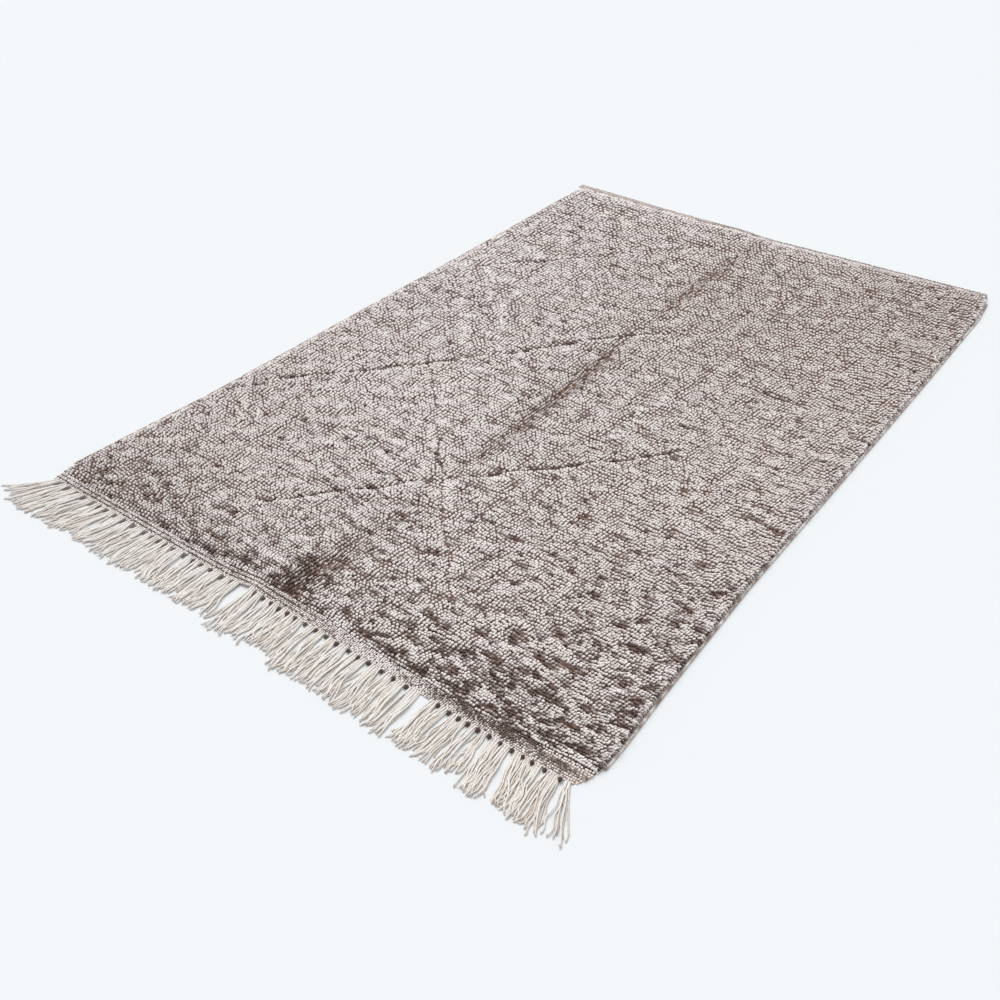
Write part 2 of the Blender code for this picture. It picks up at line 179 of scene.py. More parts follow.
# The fringe, clump by clump: where its cords leave the band and where their ends lie.
Clump = namedtuple("Clump", "root_from root_to tip_from tip_to tip_y sway")
CLUMPS = (
    Clump(-0.008, 0.020, -0.078, -0.056, -0.100, -0.003),
    Clump(0.024, 0.054, -0.044, 0.008, -0.120, -0.006),
    Clump(0.060, 0.118, 0.020, 0.064, -0.124, -0.005),
    Clump(0.126, 0.153, 0.096, 0.122, -0.118, -0.004),
    Clump(0.159, 0.203, 0.130, 0.164, -0.117, 0.003),
    Clump(0.209, 0.235, 0.180, 0.206, -0.110, 0.003),
    Clump(0.242, 0.305, 0.214, 0.284, -0.113, 0.002),
    Clump(0.311, 0.350, 0.290, 0.342, -0.117, 0.001),
    Clump(0.356, 0.400, 0.350, 0.392, -0.116, -0.003),
    Clump(0.406, 0.446, 0.399, 0.438, -0.114, 0.002),
    Clump(0.452, 0.491, 0.458, 0.501, -0.112, -0.004),
    Clump(0.497, 0.547, 0.508, 0.542, -0.111, 0.003),
    Clump(0.553, 0.576, 0.549, 0.568, -0.101, -0.002),
    Clump(0.582, 0.620, 0.576, 0.608, -0.111, 0.001),
    Clump(0.626, 0.675, 0.618, 0.674, -0.107, -0.001),
    Clump(0.697, 0.745, 0.704, 0.750, -0.119, 0.004),
    Clump(0.751, 0.797, 0.757, 0.800, -0.112, 0.007),
    Clump(0.803, 0.875, 0.810, 0.872, -0.100, 0.004),
    Clump(0.887, 0.941, 0.900, 0.942, -0.121, -0.003),
    Clump(0.947, 1.010, 0.950, 1.007, -0.115, 0.002),
    Clump(1.018, 1.066, 1.024, 1.062, -0.119, -0.003),
    Clump(1.072, 1.105, 1.071, 1.104, -0.121, 0.002),
    Clump(1.111, 1.172, 1.112, 1.170, -0.116, 0.000),
    Clump(1.178, 1.213, 1.179, 1.212, -0.123, 0.003),
    Clump(1.233, 1.289, 1.236, 1.274, -0.116, -0.003),
    Clump(1.295, 1.334, 1.284, 1.334, -0.119, 0.002),
    Clump(1.340, 1.359, 1.347, 1.364, -0.124, -0.002),
    Clump(1.365, 1.384, 1.373, 1.391, -0.104, 0.002),
    Clump(1.391, 1.441, 1.420, 1.458, -0.127, -0.003),
    Clump(1.447, 1.514, 1.474, 1.528, -0.118, 0.002),
    Clump(1.520, 1.558, 1.540, 1.582, -0.128, -0.002),
    Clump(1.563, 1.578, 1.598, 1.637, -0.112, 0.002),
)

# Where the plain end's solid has its left side and its outer edge.
FAR_SOLID_LEFT = 0.010
FAR_SOLID_EDGE = 2.512
far_low, far_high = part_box("far_end_band")
LOOM = np.array([far_low.x - FAR_SOLID_LEFT, far_high.y - FAR_SOLID_EDGE, 0.0])

# ------------------------------------------------------------------ soft unevenness

# How the rug varies: how often across and along, in which layer of the noise, and how much.
Drift = namedtuple("Drift", "across along layer size")
LINE_WANDER = Drift(12, 12, 60.0, 0.012)
LINE_WEAR = Drift(16, 16, 64.0, 0.6)
FOLD_WANDER = Drift(12, 4, 61.0, 0.012)
FOLD_LINE_WANDER = Drift(4, 9, 65.0, 0.9)
CREASE_WANDER = Drift(22, 22, 62.0, 0.008)
LUMPS = Drift(7.0, 19.0, 0.0, 0.0022)
SWELL = Drift(2.3, 2.3, 11.5, 0.0016)
STREAK_SLANT = Drift(3, 3, 63.0, 0.06)
FLECKS = Drift(96, 69, 70.0, 1.0)
LOCK_BEND = Drift(0.19, 0.19, 80.0, 0.9)
ROW_BEND = Drift(0.19, 0.19, 81.0, 0.9)
KNOT_STREAKS = Drift(18, 1, 40.0, 0.40)
CORD_UNEVEN = Drift(61.0, 1, 3.0, 0.008)
FIRST_PARTING_LAYER = 20
NOISE_STEP = 0.001

# ------------------------------------------------------------------ the pile's finish

# How the pile parts by itself: the size of its streaks, how far their tips are pushed apart,
# and how much darker they are than the rest.
Parting = namedtuple("Parting", "length width push shade")
PARTINGS = (
    Parting(0.100, 0.046, 0.0008, 0.68),
    Parting(0.046, 0.026, 0.0003, 0.56),
)
CALM = 0.42
UNEVEN_TO_RIGHT = 0.30
UNEVEN_TO_NEAR = 0.58
UNEVEN_REACH = 1.8

# The pile's locks stand in rows, each with columns of its own. They are larger to the left and
# towards the plain end.
LockAcross = namedtuple("LockAcross", "x pitch")
LOCKS_ACROSS = (LockAcross(0.0, 0.0113), LockAcross(0.8, 0.0087), LockAcross(1.6, 0.0061))
LockAlong = namedtuple("LockAlong", "y pitch growth_across")
LENGTHWAYS = 2.44
LOCKS_ALONG = (LockAlong(0.0, 0.0077, 1.0), LockAlong(1.2, 0.0118, 1.20), LockAlong(2.5, 0.0187, 1.42))

# How much small flecks of lighter and darker wool show along the rug.
FleckRow = namedtuple("FleckRow", "y strength")
FLECK_ROWS = (FleckRow(0.0, 0.15), FleckRow(1.0, 0.20), FleckRow(2.5, 0.25))

# The trellis: its grooves are dark on one side, painted shade, and roll up into a light row on
# the other, painted light.
LINE_PUSH = 0.0034
LINE_WIDTH = 0.0066
LINE_SHADE = 0.76
LINE_DEPTH = GROOVES[0].depth
LINE_END = 0.125
LINE_STRENGTH = 0.9
LEAST_LINE = 0.6
ROLL_OFFSET = 0.013
ROLL_WIDTH = 0.008
ROLL_SHADE = 0.26

# The fold: locks gather in lines along it that stand apart, more in some stretches than in
# others, and are darkened there by FOLD_SHADE, painted shade in the fold.
FoldLook = namedtuple("FoldLook", "y strength reach")
FOLD_LOOKS = (
    FoldLook(0.03, 1.00, 0.036),
    FoldLook(0.16, 0.95, 0.034),
    FoldLook(0.24, 0.60, 0.028),
    FoldLook(0.34, 0.40, 0.028),
    FoldLook(0.44, 0.25, 0.028),
    FoldLook(0.52, 0.08, 0.030),
    FoldLook(0.58, 0.05, 0.030),
    FoldLook(0.65, 0.05, 0.020),
    FoldLook(0.74, 0.55, 0.022),
    FoldLook(0.92, 0.80, 0.028),
    FoldLook(1.05, 1.00, 0.022),
    FoldLook(1.18, 1.00, 0.022),
    FoldLook(1.30, 0.95, 0.030),
    FoldLook(1.40, 0.80, 0.032),
    FoldLook(1.46, 0.05, 0.030),
    FoldLook(1.62, 0.20, 0.030),
    FoldLook(1.85, 0.65, 0.034),
    FoldLook(2.05, 0.70, 0.034),
    FoldLook(2.20, 0.30, 0.030),
    FoldLook(2.34, 0.60, 0.030),
    FoldLook(2.48, 0.20, 0.030),
)
FOLD_ASIDE = 0.013
FOLD_PITCH = 0.0090
FOLD_GATHER = 0.80
FOLD_GATHER_GAIN = 1.6
FOLD_LEAN = 0.0075
FOLD_FULLNESS = 0.66
FOLD_SHADE = 0.28
FOLD_WIDTH = 0.020

# Creases that show on their own: middle, half length and half width, turn from X in degrees,
# and how dark they are, which is painted shade in the crease. The tips part at them. The middles
# were read where the creases show against the floor. The tips there stand higher, so they lie
# nearer to the camera, by the share of the way to it that TIPS_TO_CAMERA gives.
TIPS_TO_CAMERA = 0.0092
Crease = namedtuple("Crease", "x y half_length half_width turn shade")
CREASES = (
    Crease(0.295, 0.577, 0.055, 0.008, 0, 0.50),
    Crease(0.115, 0.595, 0.035, 0.006, 0, 0.40),
    Crease(0.300, 0.475, 0.035, 0.012, 0, 0.35),
    Crease(0.180, 0.515, 0.040, 0.012, 10, 0.35),
    Crease(0.160, 0.305, 0.050, 0.012, -8, 0.40),
    Crease(0.310, 0.225, 0.030, 0.012, 20, 0.40),
    Crease(0.210, 0.170, 0.050, 0.008, 5, 0.30),
    Crease(0.365, 0.345, 0.022, 0.010, 30, 0.45),
    Crease(0.480, 0.245, 0.040, 0.013, 35, 0.50),
    Crease(0.425, 0.195, 0.035, 0.007, 5, 0.35),
    Crease(0.555, 0.352, 0.024, 0.010, 35, 0.55),
    Crease(0.590, 0.405, 0.052, 0.014, -12, 0.50),
    Crease(0.645, 0.465, 0.030, 0.012, 90, 0.30),
    Crease(0.570, 0.058, 0.080, 0.013, 0, 0.45),
    Crease(0.130, 0.085, 0.110, 0.007, 0, 0.30),
    Crease(0.430, 0.405, 0.032, 0.008, 15, 0.30),
    Crease(0.640, 0.532, 0.026, 0.008, 15, 0.40),
    Crease(0.695, 0.680, 0.022, 0.014, 0, 0.45),
    Crease(0.060, 0.645, 0.025, 0.018, 45, 0.40),
    Crease(1.010, 0.670, 0.060, 0.018, 0, 0.30),
    Crease(1.150, 0.690, 0.050, 0.016, -10, 0.30),
    Crease(1.280, 0.680, 0.042, 0.009, 0, 0.45),
    Crease(1.440, 0.645, 0.045, 0.018, -15, 0.35),
    Crease(1.550, 0.640, 0.020, 0.011, 20, 0.60),
    Crease(0.955, 0.540, 0.045, 0.009, -6, 0.55),
    Crease(1.055, 0.520, 0.035, 0.009, 5, 0.40),
    Crease(1.160, 0.528, 0.050, 0.010, 8, 0.50),
    Crease(1.255, 0.500, 0.032, 0.015, -10, 0.45),
    Crease(1.120, 0.455, 0.050, 0.010, 0, 0.30),
    Crease(1.140, 0.385, 0.032, 0.013, 0, 0.35),
    Crease(1.310, 0.450, 0.035, 0.016, 60, 0.30),
    Crease(1.280, 0.335, 0.050, 0.008, 0, 0.30),
    Crease(1.410, 0.255, 0.075, 0.007, 0, 0.60),
    Crease(1.510, 0.380, 0.050, 0.012, 5, 0.35),
    Crease(1.250, 0.250, 0.050, 0.009, -25, 0.35),
    Crease(1.180, 0.147, 0.048, 0.008, 0, 0.60),
    Crease(1.350, 0.140, 0.075, 0.022, 5, 0.50),
    Crease(1.570, 0.215, 0.040, 0.030, 10, 0.40),
    Crease(1.400, 0.073, 0.110, 0.007, 2, 0.40),
    Crease(1.130, 0.060, 0.100, 0.010, -3, 0.50),
    Crease(1.550, 0.080, 0.045, 0.010, 8, 0.50),
    Crease(0.195, 1.430, 0.105, 0.007, -3, 0.40),
    Crease(0.345, 1.530, 0.050, 0.008, -15, 0.35),
    Crease(0.150, 1.130, 0.070, 0.009, 0, 0.30),
    Crease(0.440, 1.085, 0.030, 0.012, 40, 0.45),
    Crease(0.310, 0.950, 0.034, 0.012, 42, 0.50),
    Crease(0.625, 1.195, 0.060, 0.009, 0, 0.35),
    Crease(0.750, 0.965, 0.025, 0.006, 0, 0.50),
    Crease(0.660, 1.390, 0.026, 0.014, 20, 0.40),
    Crease(0.905, 1.190, 0.032, 0.009, 0, 0.45),
    Crease(1.270, 1.485, 0.140, 0.014, 0, 0.35),
    Crease(1.190, 1.190, 0.052, 0.011, 0, 0.40),
    Crease(1.190, 1.045, 0.038, 0.014, 0, 0.50),
    Crease(1.410, 0.993, 0.110, 0.010, -3, 0.50),
    Crease(1.540, 0.930, 0.060, 0.010, -5, 0.40),
    Crease(1.250, 0.840, 0.050, 0.018, 0, 0.30),
    Crease(0.950, 0.800, 0.050, 0.014, 15, 0.35),
    Crease(1.420, 1.155, 0.032, 0.008, 5, 0.40),
    Crease(0.510, 1.932, 0.052, 0.007, 2, 0.60),
    Crease(0.620, 1.915, 0.045, 0.009, -10, 0.40),
    Crease(0.260, 1.800, 0.022, 0.014, 50, 0.40),
    Crease(0.300, 2.445, 0.130, 0.011, -3, 0.30),
    Crease(0.680, 2.290, 0.034, 0.012, 50, 0.40),
    Crease(0.860, 2.090, 0.055, 0.008, 50, 0.40),
    Crease(1.130, 1.950, 0.065, 0.006, -5, 0.45),
    Crease(0.930, 1.770, 0.040, 0.026, 10, 0.28),
    Crease(1.080, 1.760, 0.034, 0.018, 20, 0.28),
    Crease(1.360, 1.920, 0.060, 0.014, -10, 0.28),
    Crease(1.390, 2.270, 0.034, 0.018, -30, 0.30),
    Crease(1.450, 1.980, 0.030, 0.026, 0, 0.25),
)
CREASE_PUSH = 0.0018
CREASE_DEPTH = 0.0025
CREASE_SHADE = 0.85
FULL_CREASE = 0.5
CREASE_SEARCH = 4

# How the pile rolls off at its left, right, near and far edge: the share of its height that it
# has at the edge, and how far in it has all of it.
Roll = namedtuple("Roll", "share reach")
ROLLS = (Roll(0.20, 0.024), Roll(0.50, 0.014), Roll(0.25, 0.030), Roll(0.15, 0.040))

RIDGE_HEIGHT = 0.005
RIDGE_REACH = 0.30
RIDGE_X = 0.722
RIDGE_WIDTH = 0.030

# Broad lighter and darker places in the pile, each an oval with soft edges.
PATCH_EDGE = 1.5
Patch = namedtuple("Patch", "x y half_width half_length shade")
PATCHES = (
    Patch(0.30, 0.80, 0.42, 0.45, 0.15),
    Patch(0.55, 1.55, 0.35, 0.35, -0.02),
    Patch(1.36, 0.92, 0.20, 0.25, 0.16),
    Patch(1.44, 1.72, 0.20, 0.26, 0.14),
    # The next two narrow dark ovals lie along the fold: painted shade in it.
    Patch(0.80, 1.10, 0.05, 0.40, -0.12),
    Patch(0.765, 0.08, 0.045, 0.12, -0.32),
    Patch(0.25, 0.34, 0.30, 0.20, 0.20),
    Patch(0.55, 2.25, 0.20, 0.20, 0.10),
    Patch(1.50, 0.35, 0.22, 0.35, -0.17),
    Patch(0.20, 0.05, 0.50, 0.12, -0.12),
    Patch(1.25, 0.05, 0.60, 0.15, -0.26),
    Patch(1.10, 2.00, 0.30, 0.25, -0.06),
    Patch(1.52, 2.25, 0.16, 0.30, -0.08),
    Patch(0.90, 0.32, 0.20, 0.20, -0.08),
)

# Small patches of undyed cream knots.
CREAM_PATCHES = (
    Patch(0.205, 0.034, 0.014, 0.007, 0.9),
    Patch(0.290, 0.036, 0.012, 0.008, 0.7),
    Patch(0.650, 0.052, 0.030, 0.008, 0.8),
    Patch(1.200, 0.040, 0.018, 0.008, 0.8),
    Patch(1.545, 0.058, 0.040, 0.009, 1.0),
    Patch(0.800, 0.585, 0.030, 0.030, 0.6),
    Patch(0.860, 0.540, 0.020, 0.040, 0.5),
    Patch(0.930, 0.450, 0.016, 0.060, 0.5),
    Patch(1.000, 0.380, 0.014, 0.050, 0.4),
)


class RugSizes(bpy.types.PropertyGroup):
    """Sizes of the rug's threads."""

    lock_scale: FloatProperty(
        name="Lock Scale",
        description="How large the pile's locks are, as a share of the photographed rug's",
        default=1.0,
        min=0.8,
        max=2.0,
    )
    lock_length: FloatProperty(
        name="Lock Length",
        description="Length of a lock of wool, from inside the ground weave to its tip",
        default=0.0120,
        unit="LENGTH",
    )
    lock_fullness: FloatProperty(
        name="Lock Fullness",
        description="Thickness of a lock at its fullest, as a share of the distance between locks",
        default=0.96,
        min=0.3,
    )
    ground_depth: FloatProperty(
        name="Ground Depth",
        description="How far the ground between the locks lies under their tips",
        default=0.0078,
        unit="LENGTH",
    )
    cord_radius: FloatProperty(
        name="Fringe Cord Radius",
        description="Half the thickness of a fringe cord",
        default=0.0022,
        unit="LENGTH",
    )
    knot_pitch: FloatProperty(
        name="Knot Pitch",
        description="Distance between the low knots of the rug's two ends",
        default=0.0052,
        unit="LENGTH",
    )


def wool_colour(name, description, default):
    return FloatVectorProperty(name=name, description=description, subtype="COLOR", default=default)


class RugColours(bpy.types.PropertyGroup):
    """Colours of the rug's wool."""

    ivory: wool_colour("Ivory Wool", "The lightest tips", (1.0, 0.951, 0.931))
    grey: wool_colour("Grey Wool", "Tips of middle tone", (0.71, 0.60, 0.56))
    brown: wool_colour("Brown Wool", "The darkest tips", (0.48, 0.335, 0.275))
    # root is painted shade rather than a wool: the dark down between the locks, at their roots and in
    # creases.
    root: wool_colour("Root Wool", "The darkest wool, down between locks", (0.080, 0.042, 0.034))
    # flank_shade is painted shade on the flanks of light locks, below their lit crowns.
    flank_shade: wool_colour("Taupe Wool", "Flanks of light locks", (0.67, 0.575, 0.54))
    cream: wool_colour("Cream Wool", "Undyed warp and weft", (0.90, 0.868, 0.835))
    beige: wool_colour("Beige Wool", "Frayed warp ends", (0.71, 0.615, 0.535))
    wrap: wool_colour("Wrapped Wool", "The wrapped side cords", (0.54, 0.46, 0.40))
    floor: wool_colour("Floor", "The plain floor", (0.812, 0.827, 0.840))


# ------------------------------------------------------------------ reading the plan


def read(table, at, column):
    """A table's column at places between its rows, which its first column names."""
    rows = np.array(table)
    return np.interp(at, rows[:, 0], rows[:, table[0]._fields.index(column)])


def value_at(table, x, column):
    """A table's column at a single place."""
    return float(read(table, x, column))


def mix(start, end, share):
    return start + (end - start) * share


def rising(value, start, end):
    """0 up to the start, 1 from the end, and a straight way between them."""
    return np.clip((value - start) / (end - start), 0, 1)


def between(stops, at):
    """Reads rows of stops at places between them. Each place has a column of its own."""
    step = np.clip(np.floor(at).astype(int), 0, len(stops) - 2)
    place = np.arange(at.size)
    return mix(stops[step, place], stops[step + 1, place], at - step)


def pile_place(across, row):
    """Where places of the pile's grid lie: a share of its width, and a row as in LEVELS."""
    x = across * RUG_WIDTH
    heights = np.stack(
        [
            read(NEAR_END, x, "pile_edge") + SHOULDER_INSET,
            *(mix(level.left_y, level.right_y, across) for level in LEVELS),
            read(FAR_END, x, "pile_edge") - SHOULDER_INSET,
        ]
    )
    rows = [0, *(level.row for level in LEVELS), ROWS]
    y = between(heights, np.interp(row, rows, range(len(rows))))
    stops = np.stack(
        [
            read(SIDES, y, "left") + SHOULDER_INSET,
            np.full_like(y, HALF_DIAMOND_WIDTH),
            read(FOLD, y, "x"),
            np.full_like(y, 3 * HALF_DIAMOND_WIDTH),
            read(SIDES, y, "right") - SHOULDER_INSET,
        ]
    )
    return between(stops, across * 4), y


def wool_noise(x, y, layer):
    """Soft noise at each place, from about -1 to 1. A layer is another noise."""
    return np.array([noise.noise((a, b, layer)) for a, b in zip(x, y)])


def drift(kind, x, y):
    """One of the rug's soft noises at each place."""
    return wool_noise(x * kind.across, y * kind.along, kind.layer) * kind.size


def bump(distance, width):
    """1 at a distance of nothing, falling off smoothly over the width."""
    return np.exp(-((distance / width) ** 2))


def trellis(across, row, x, y):
    """The trellis's depth at places of the pile, the push on its tips and their shade."""
    count = across * 4
    along = (row - END_ROWS) / HALF_DIAMOND
    depth, shade, push = still(x)
    wander = drift(LINE_WANDER, x, y)
    worn = np.clip(LINE_STRENGTH + drift(LINE_WEAR, x, y), LEAST_LINE, 1)
    for groove in GROOVES:
        normal = Vector((1 / HALF_DIAMOND_WIDTH, -groove.leans / HALF_DIAMOND_LENGTH))
        distance = (count - groove.leans * along - groove.line) / normal.length + wander
        ends = rising(count, groove.from_across, groove.from_across + LINE_END)
        ends = ends * (1 - rising(count, groove.to_across - LINE_END, groove.to_across))
        ends = ends * groove.depth / LINE_DEPTH
        near = bump(distance, LINE_WIDTH) * ends * worn
        rolled = bump(distance - groove.leans * ROLL_OFFSET, ROLL_WIDTH) * ends
        depth = np.maximum(depth, LINE_DEPTH * near)
        # Painted shade along each groove, and painted light on the roll of pile beside it.
        shade += rolled * ROLL_SHADE * groove.light - near * LINE_SHADE * groove.dark
        push += np.outer(np.sign(distance) * near * LINE_PUSH, normal.normalized())
    return depth, shade, push


COUNT_STEPS = 1000


def counted(table, end):
    """How many locks there are up to each of many places, from 0 to an end. A table has pitches."""
    places = np.linspace(0, end, COUNT_STEPS + 1)
    density = 1 / read(table, places, "pitch") / bpy.context.scene.rug_sizes.lock_scale
    steps = (density[1:] + density[:-1]) / 2 * np.diff(places)
    return places, np.concatenate([[0], np.cumsum(steps)])


def fold_strength(x, y):
    """How much the columns of locks stand apart at the fold, from 0 to 1."""
    off = x - read(FOLD, y, "x") - FOLD_ASIDE + drift(FOLD_WANDER, x, y)
    return bump(off, read(FOLD_LOOKS, y, "reach")) * read(FOLD_LOOKS, y, "strength")


def fold(x, y):
    """The fold's depth at places of the pile, the push on its tips and their shade."""
    depth, shade, push = still(x)
    depth += read(FOLD, y, "depth") * bump(x - read(FOLD, y, "x") - FOLD_ASIDE, FOLD_WIDTH)
    strength = fold_strength(x, y)
    push[:, 1] += strength * FOLD_LEAN
    # Painted shade on the locks in the fold.
    shade -= strength * FOLD_SHADE
    return depth, shade, push


def gathered(x, y):
    """Moves places towards the lines in which the locks stand at the fold."""
    place = (x - read(FOLD, y, "x") - FOLD_ASIDE) / FOLD_PITCH + drift(FOLD_LINE_WANDER, x, y)
    off = (place - np.round(place)) * FOLD_PITCH
    return x - off * FOLD_GATHER * np.clip(fold_strength(x, y) * FOLD_GATHER_GAIN, 0, 1)


def seen_over(place, camera):
    """Where the tips that show at a place on the floor stand, to the millimetre."""
    return round(place - TIPS_TO_CAMERA * (place - camera), 3)


def creases(x, y):
    """The creases' depth at places of the pile, the push on its tips and their shade."""
    depth, shade, push = still(x)
    for crease in CREASES:
        turn = math.radians(crease.turn)
        off_x = x - seen_over(crease.x, CAMERA_PLACE.x)
        off_y = y - seen_over(crease.y, CAMERA_PLACE.y)
        near = np.abs(off_x) + np.abs(off_y) < crease.half_length * CREASE_SEARCH
        off_x, off_y = off_x[near], off_y[near]
        along = off_x * math.cos(turn) + off_y * math.sin(turn)
        away = off_y * math.cos(turn) - off_x * math.sin(turn)
        away = away + drift(CREASE_WANDER, x[near], y[near])
        amount = bump(away, crease.half_width) * np.exp(-((along / crease.half_length) ** 4)) * crease.shade
        depth[near] += amount * CREASE_DEPTH / FULL_CREASE
        # Painted shade on the locks in a crease.
        shade[near] -= amount * CREASE_SHADE
        aside = np.sign(away) * amount * CREASE_PUSH / FULL_CREASE
        push[near] += np.outer(aside, (-math.sin(turn), math.cos(turn)))
    return depth, shade, push


def still(x):
    """No depth, no shade and no push, for as many places as x has."""
    return np.zeros_like(x), np.zeros_like(x), np.zeros((len(x), 2))


def relief(across, row, x, y):
    """Everything that sinks, shades and pushes the pile at its lines, fold and creases."""
    parts = (trellis(across, row, x, y), fold(x, y), creases(x, y))
    return (sum(values) for values in zip(*parts))


def rolled_off(x, y):
    """How much of its full height the pile has at its places, which is less near its edges."""
    depths = (
        x - read(SIDES, y, "left"),
        read(SIDES, y, "right") - x,
        y - read(NEAR_END, x, "pile_edge"),
        read(FAR_END, x, "pile_edge") - y,
    )
    total = np.ones_like(x)
    for roll, depth in zip(ROLLS, depths):
        total *= mix(roll.share, 1, rising(depth, 0, roll.reach))
    return total


def pile_height(x, y, sunk):
    """The height of the pile's tips."""
    uneven = drift(LUMPS, x, y) + drift(SWELL, x, y)
    ridge = RIDGE_HEIGHT * (1 - rising(y, 0, RIDGE_REACH)) * bump(x - RIDGE_X, RIDGE_WIDTH)
    return (PILE_HEIGHT + uneven + ridge - sunk) * rolled_off(x, y)


def partings(x, y):
    """How the pile's streaks push its tips, and how dark the pile is in them."""
    _, shade, push = still(x)
    slant = y + drift(STREAK_SLANT, x, y)
    for layer, parting in enumerate(PARTINGS, start=FIRST_PARTING_LAYER):
        a, b = x * 2 / parting.length, slant * 2 / parting.width
        here = wool_noise(a, b, layer)
        slope_x = wool_noise(a + NOISE_STEP * 2 / parting.length, b, layer) - here
        slope_y = wool_noise(a, b + NOISE_STEP * 2 / parting.width, layer) - here
        gain = parting.push * parting.width / 2 / NOISE_STEP
        push += np.stack([slope_x, slope_y], axis=1) * gain
        shade += here * parting.shade
    unevenness = CALM + UNEVEN_TO_RIGHT * x / RUG_WIDTH + UNEVEN_TO_NEAR * (1 - rising(y, 0, UNEVEN_REACH))
    return push * unevenness[:, None], shade * unevenness


def patch_shade(x, y, patches):
    """How much lighter or darker patches make their places."""
    total = np.zeros_like(x)
    for patch in patches:
        reach = ((x - patch.x) / patch.half_width) ** 2 + ((y - patch.y) / patch.half_length) ** 2
        total += patch.shade * np.exp(-(reach**PATCH_EDGE))
    return total


# ------------------------------------------------------------------ threads

Shape = namedtuple("Shape", "points level light corners starts")
Lines = namedtuple("Lines", "centre side up radius tone")


def fresh():
    bpy.ops.object.select_all(action="DESELECT")


def shape_of(prototype, light):
    """Reads a prototype, which stands along Z, into arrays, and removes it."""
    mesh = prototype.data
    points = np.empty((len(mesh.vertices), 3), np.float32)
    mesh.vertices.foreach_get("co", points.ravel())
    corners = np.empty(len(mesh.loops), np.int32)
    mesh.loops.foreach_get("vertex_index", corners)
    starts = np.empty(len(mesh.polygons), np.int32)
    mesh.polygons.foreach_get("loop_start", starts)
    heights = points[:, 2].round(5)
    level = np.searchsorted(np.unique(heights), heights)
    bpy.data.objects.remove(prototype)
    return Shape(points, level, light(points), corners, starts)


# A pointed shape: how many sides it has, and the height and radius of its two rings.
Pointed = namedtuple("Pointed", "sides low low_radius high high_radius")
LOCK = Pointed(5, 0.48, 1.08, 0.82, 0.64)
FRAY = Pointed(4, 0.30, 0.9, 0.70, 1.0)


def pointed_shape(pointed, light):
    """A closed shape that is pointed at both its ends."""
    fresh()
    bpy.ops.mesh.primitive_cone_add(
        vertices=pointed.sides,
        radius1=pointed.low_radius,
        radius2=pointed.high_radius,
        depth=pointed.high - pointed.low,
        location=(0, 0, (pointed.high + pointed.low) / 2),
    )
    bpy.ops.object.transform_apply()
    made = bpy.context.object
    for side, reach in ((-1, pointed.low), (1, 1 - pointed.high)):
        bpy.ops.object.mode_set(mode="EDIT")
        bpy.ops.mesh.select_all(action="DESELECT")
        bpy.ops.object.mode_set(mode="OBJECT")
        for face in made.data.polygons:
            face.select = face.normal.z * side > 0.99
        bpy.ops.object.mode_set(mode="EDIT")
        bpy.ops.mesh.extrude_region_move(TRANSFORM_OT_translate={"value": (0, 0, side * reach)})
        bpy.ops.mesh.merge(type="CENTER")
        bpy.ops.object.mode_set(mode="OBJECT")
    return shape_of(made, light)


def lock_shape():
    """A lock of wool: a point at the root, a full belly, and a domed tip. Its painted light rises
    with its height, from painted shade at the root to full at the tip.
    """
    return pointed_shape(LOCK, lambda points: points[:, 2])


def fray_shape():
    """A frayed end: full in the middle and pointed at both ends. Its painted light is full in the
    middle, with painted shade towards both ends.
    """
    return pointed_shape(FRAY, lambda points: 1.0 - np.abs(points[:, 2] * 2 - 1) * 0.9)


def stops_along(pointed, start, end):
    """The four places along a straight line that a pointed shape needs."""
    shares = (0, pointed.low, pointed.high, 1)
    return np.stack([mix(start, end, share) for share in shares], axis=1)


def ringed_cylinder(sides, rings):
    """A closed cylinder, one unit long, with rings all along it."""
    fresh()
    bpy.ops.mesh.primitive_cylinder_add(vertices=sides, radius=1.0, depth=1.0, location=(0, 0, 0.5))
    bpy.ops.object.transform_apply()
    cord = bpy.context.object
    bpy.ops.object.mode_set(mode="EDIT")
    bpy.ops.mesh.select_mode(type="EDGE")
    bpy.ops.mesh.select_all(action="DESELECT")
    bpy.ops.object.mode_set(mode="OBJECT")
    places = cord.data.vertices
    for edge in cord.data.edges:
        start, end = edge.vertices
        edge.select = abs(places[start].co.z - places[end].co.z) > 0.5
    bpy.ops.object.mode_set(mode="EDIT")
    bpy.ops.mesh.subdivide(number_cuts=rings - 1)
    bpy.ops.mesh.select_mode(type="VERT")
    bpy.ops.object.mode_set(mode="OBJECT")
    return cord


def cord_shape(turns, rings, lobes, pinch, sides):
    """A twisted cord, one unit long, whose section has as many lobes as the cord has plies. Its
    painted light is on each ply's crown, with painted shade between the plies.
    """

    def light(points):
        angle = np.arctan2(points[:, 1], points[:, 0])
        crown = (np.cos(lobes * (angle - points[:, 2] * turns * math.tau)) + 1) / 2
        points[:, :2] *= mix(1 - pinch, 1.0, crown)[:, None]
        return crown

    return shape_of(ringed_cylinder(sides, rings), light)


def unit(vectors):
    return vectors / np.maximum(np.linalg.norm(vectors, axis=-1, keepdims=True), 1e-9)


def lines_along(centre, radius, tone, upright, turn=None):
    """Lines through given centres, with the directions across them. None may run upright."""
    along = unit(np.gradient(centre, axis=1))
    side = unit(np.cross(along, np.array(upright, float)))
    up = np.cross(along, side)
    if turn is not None:
        cosine, sine = np.cos(turn)[:, None, None], np.sin(turn)[:, None, None]
        side, up = side * cosine + up * sine, up * cosine - side * sine
    shape = centre.shape[:2]
    return Lines(centre, side, up, np.broadcast_to(radius, shape), np.broadcast_to(tone, shape))


FLOOR_CLEARANCE = 0.0003

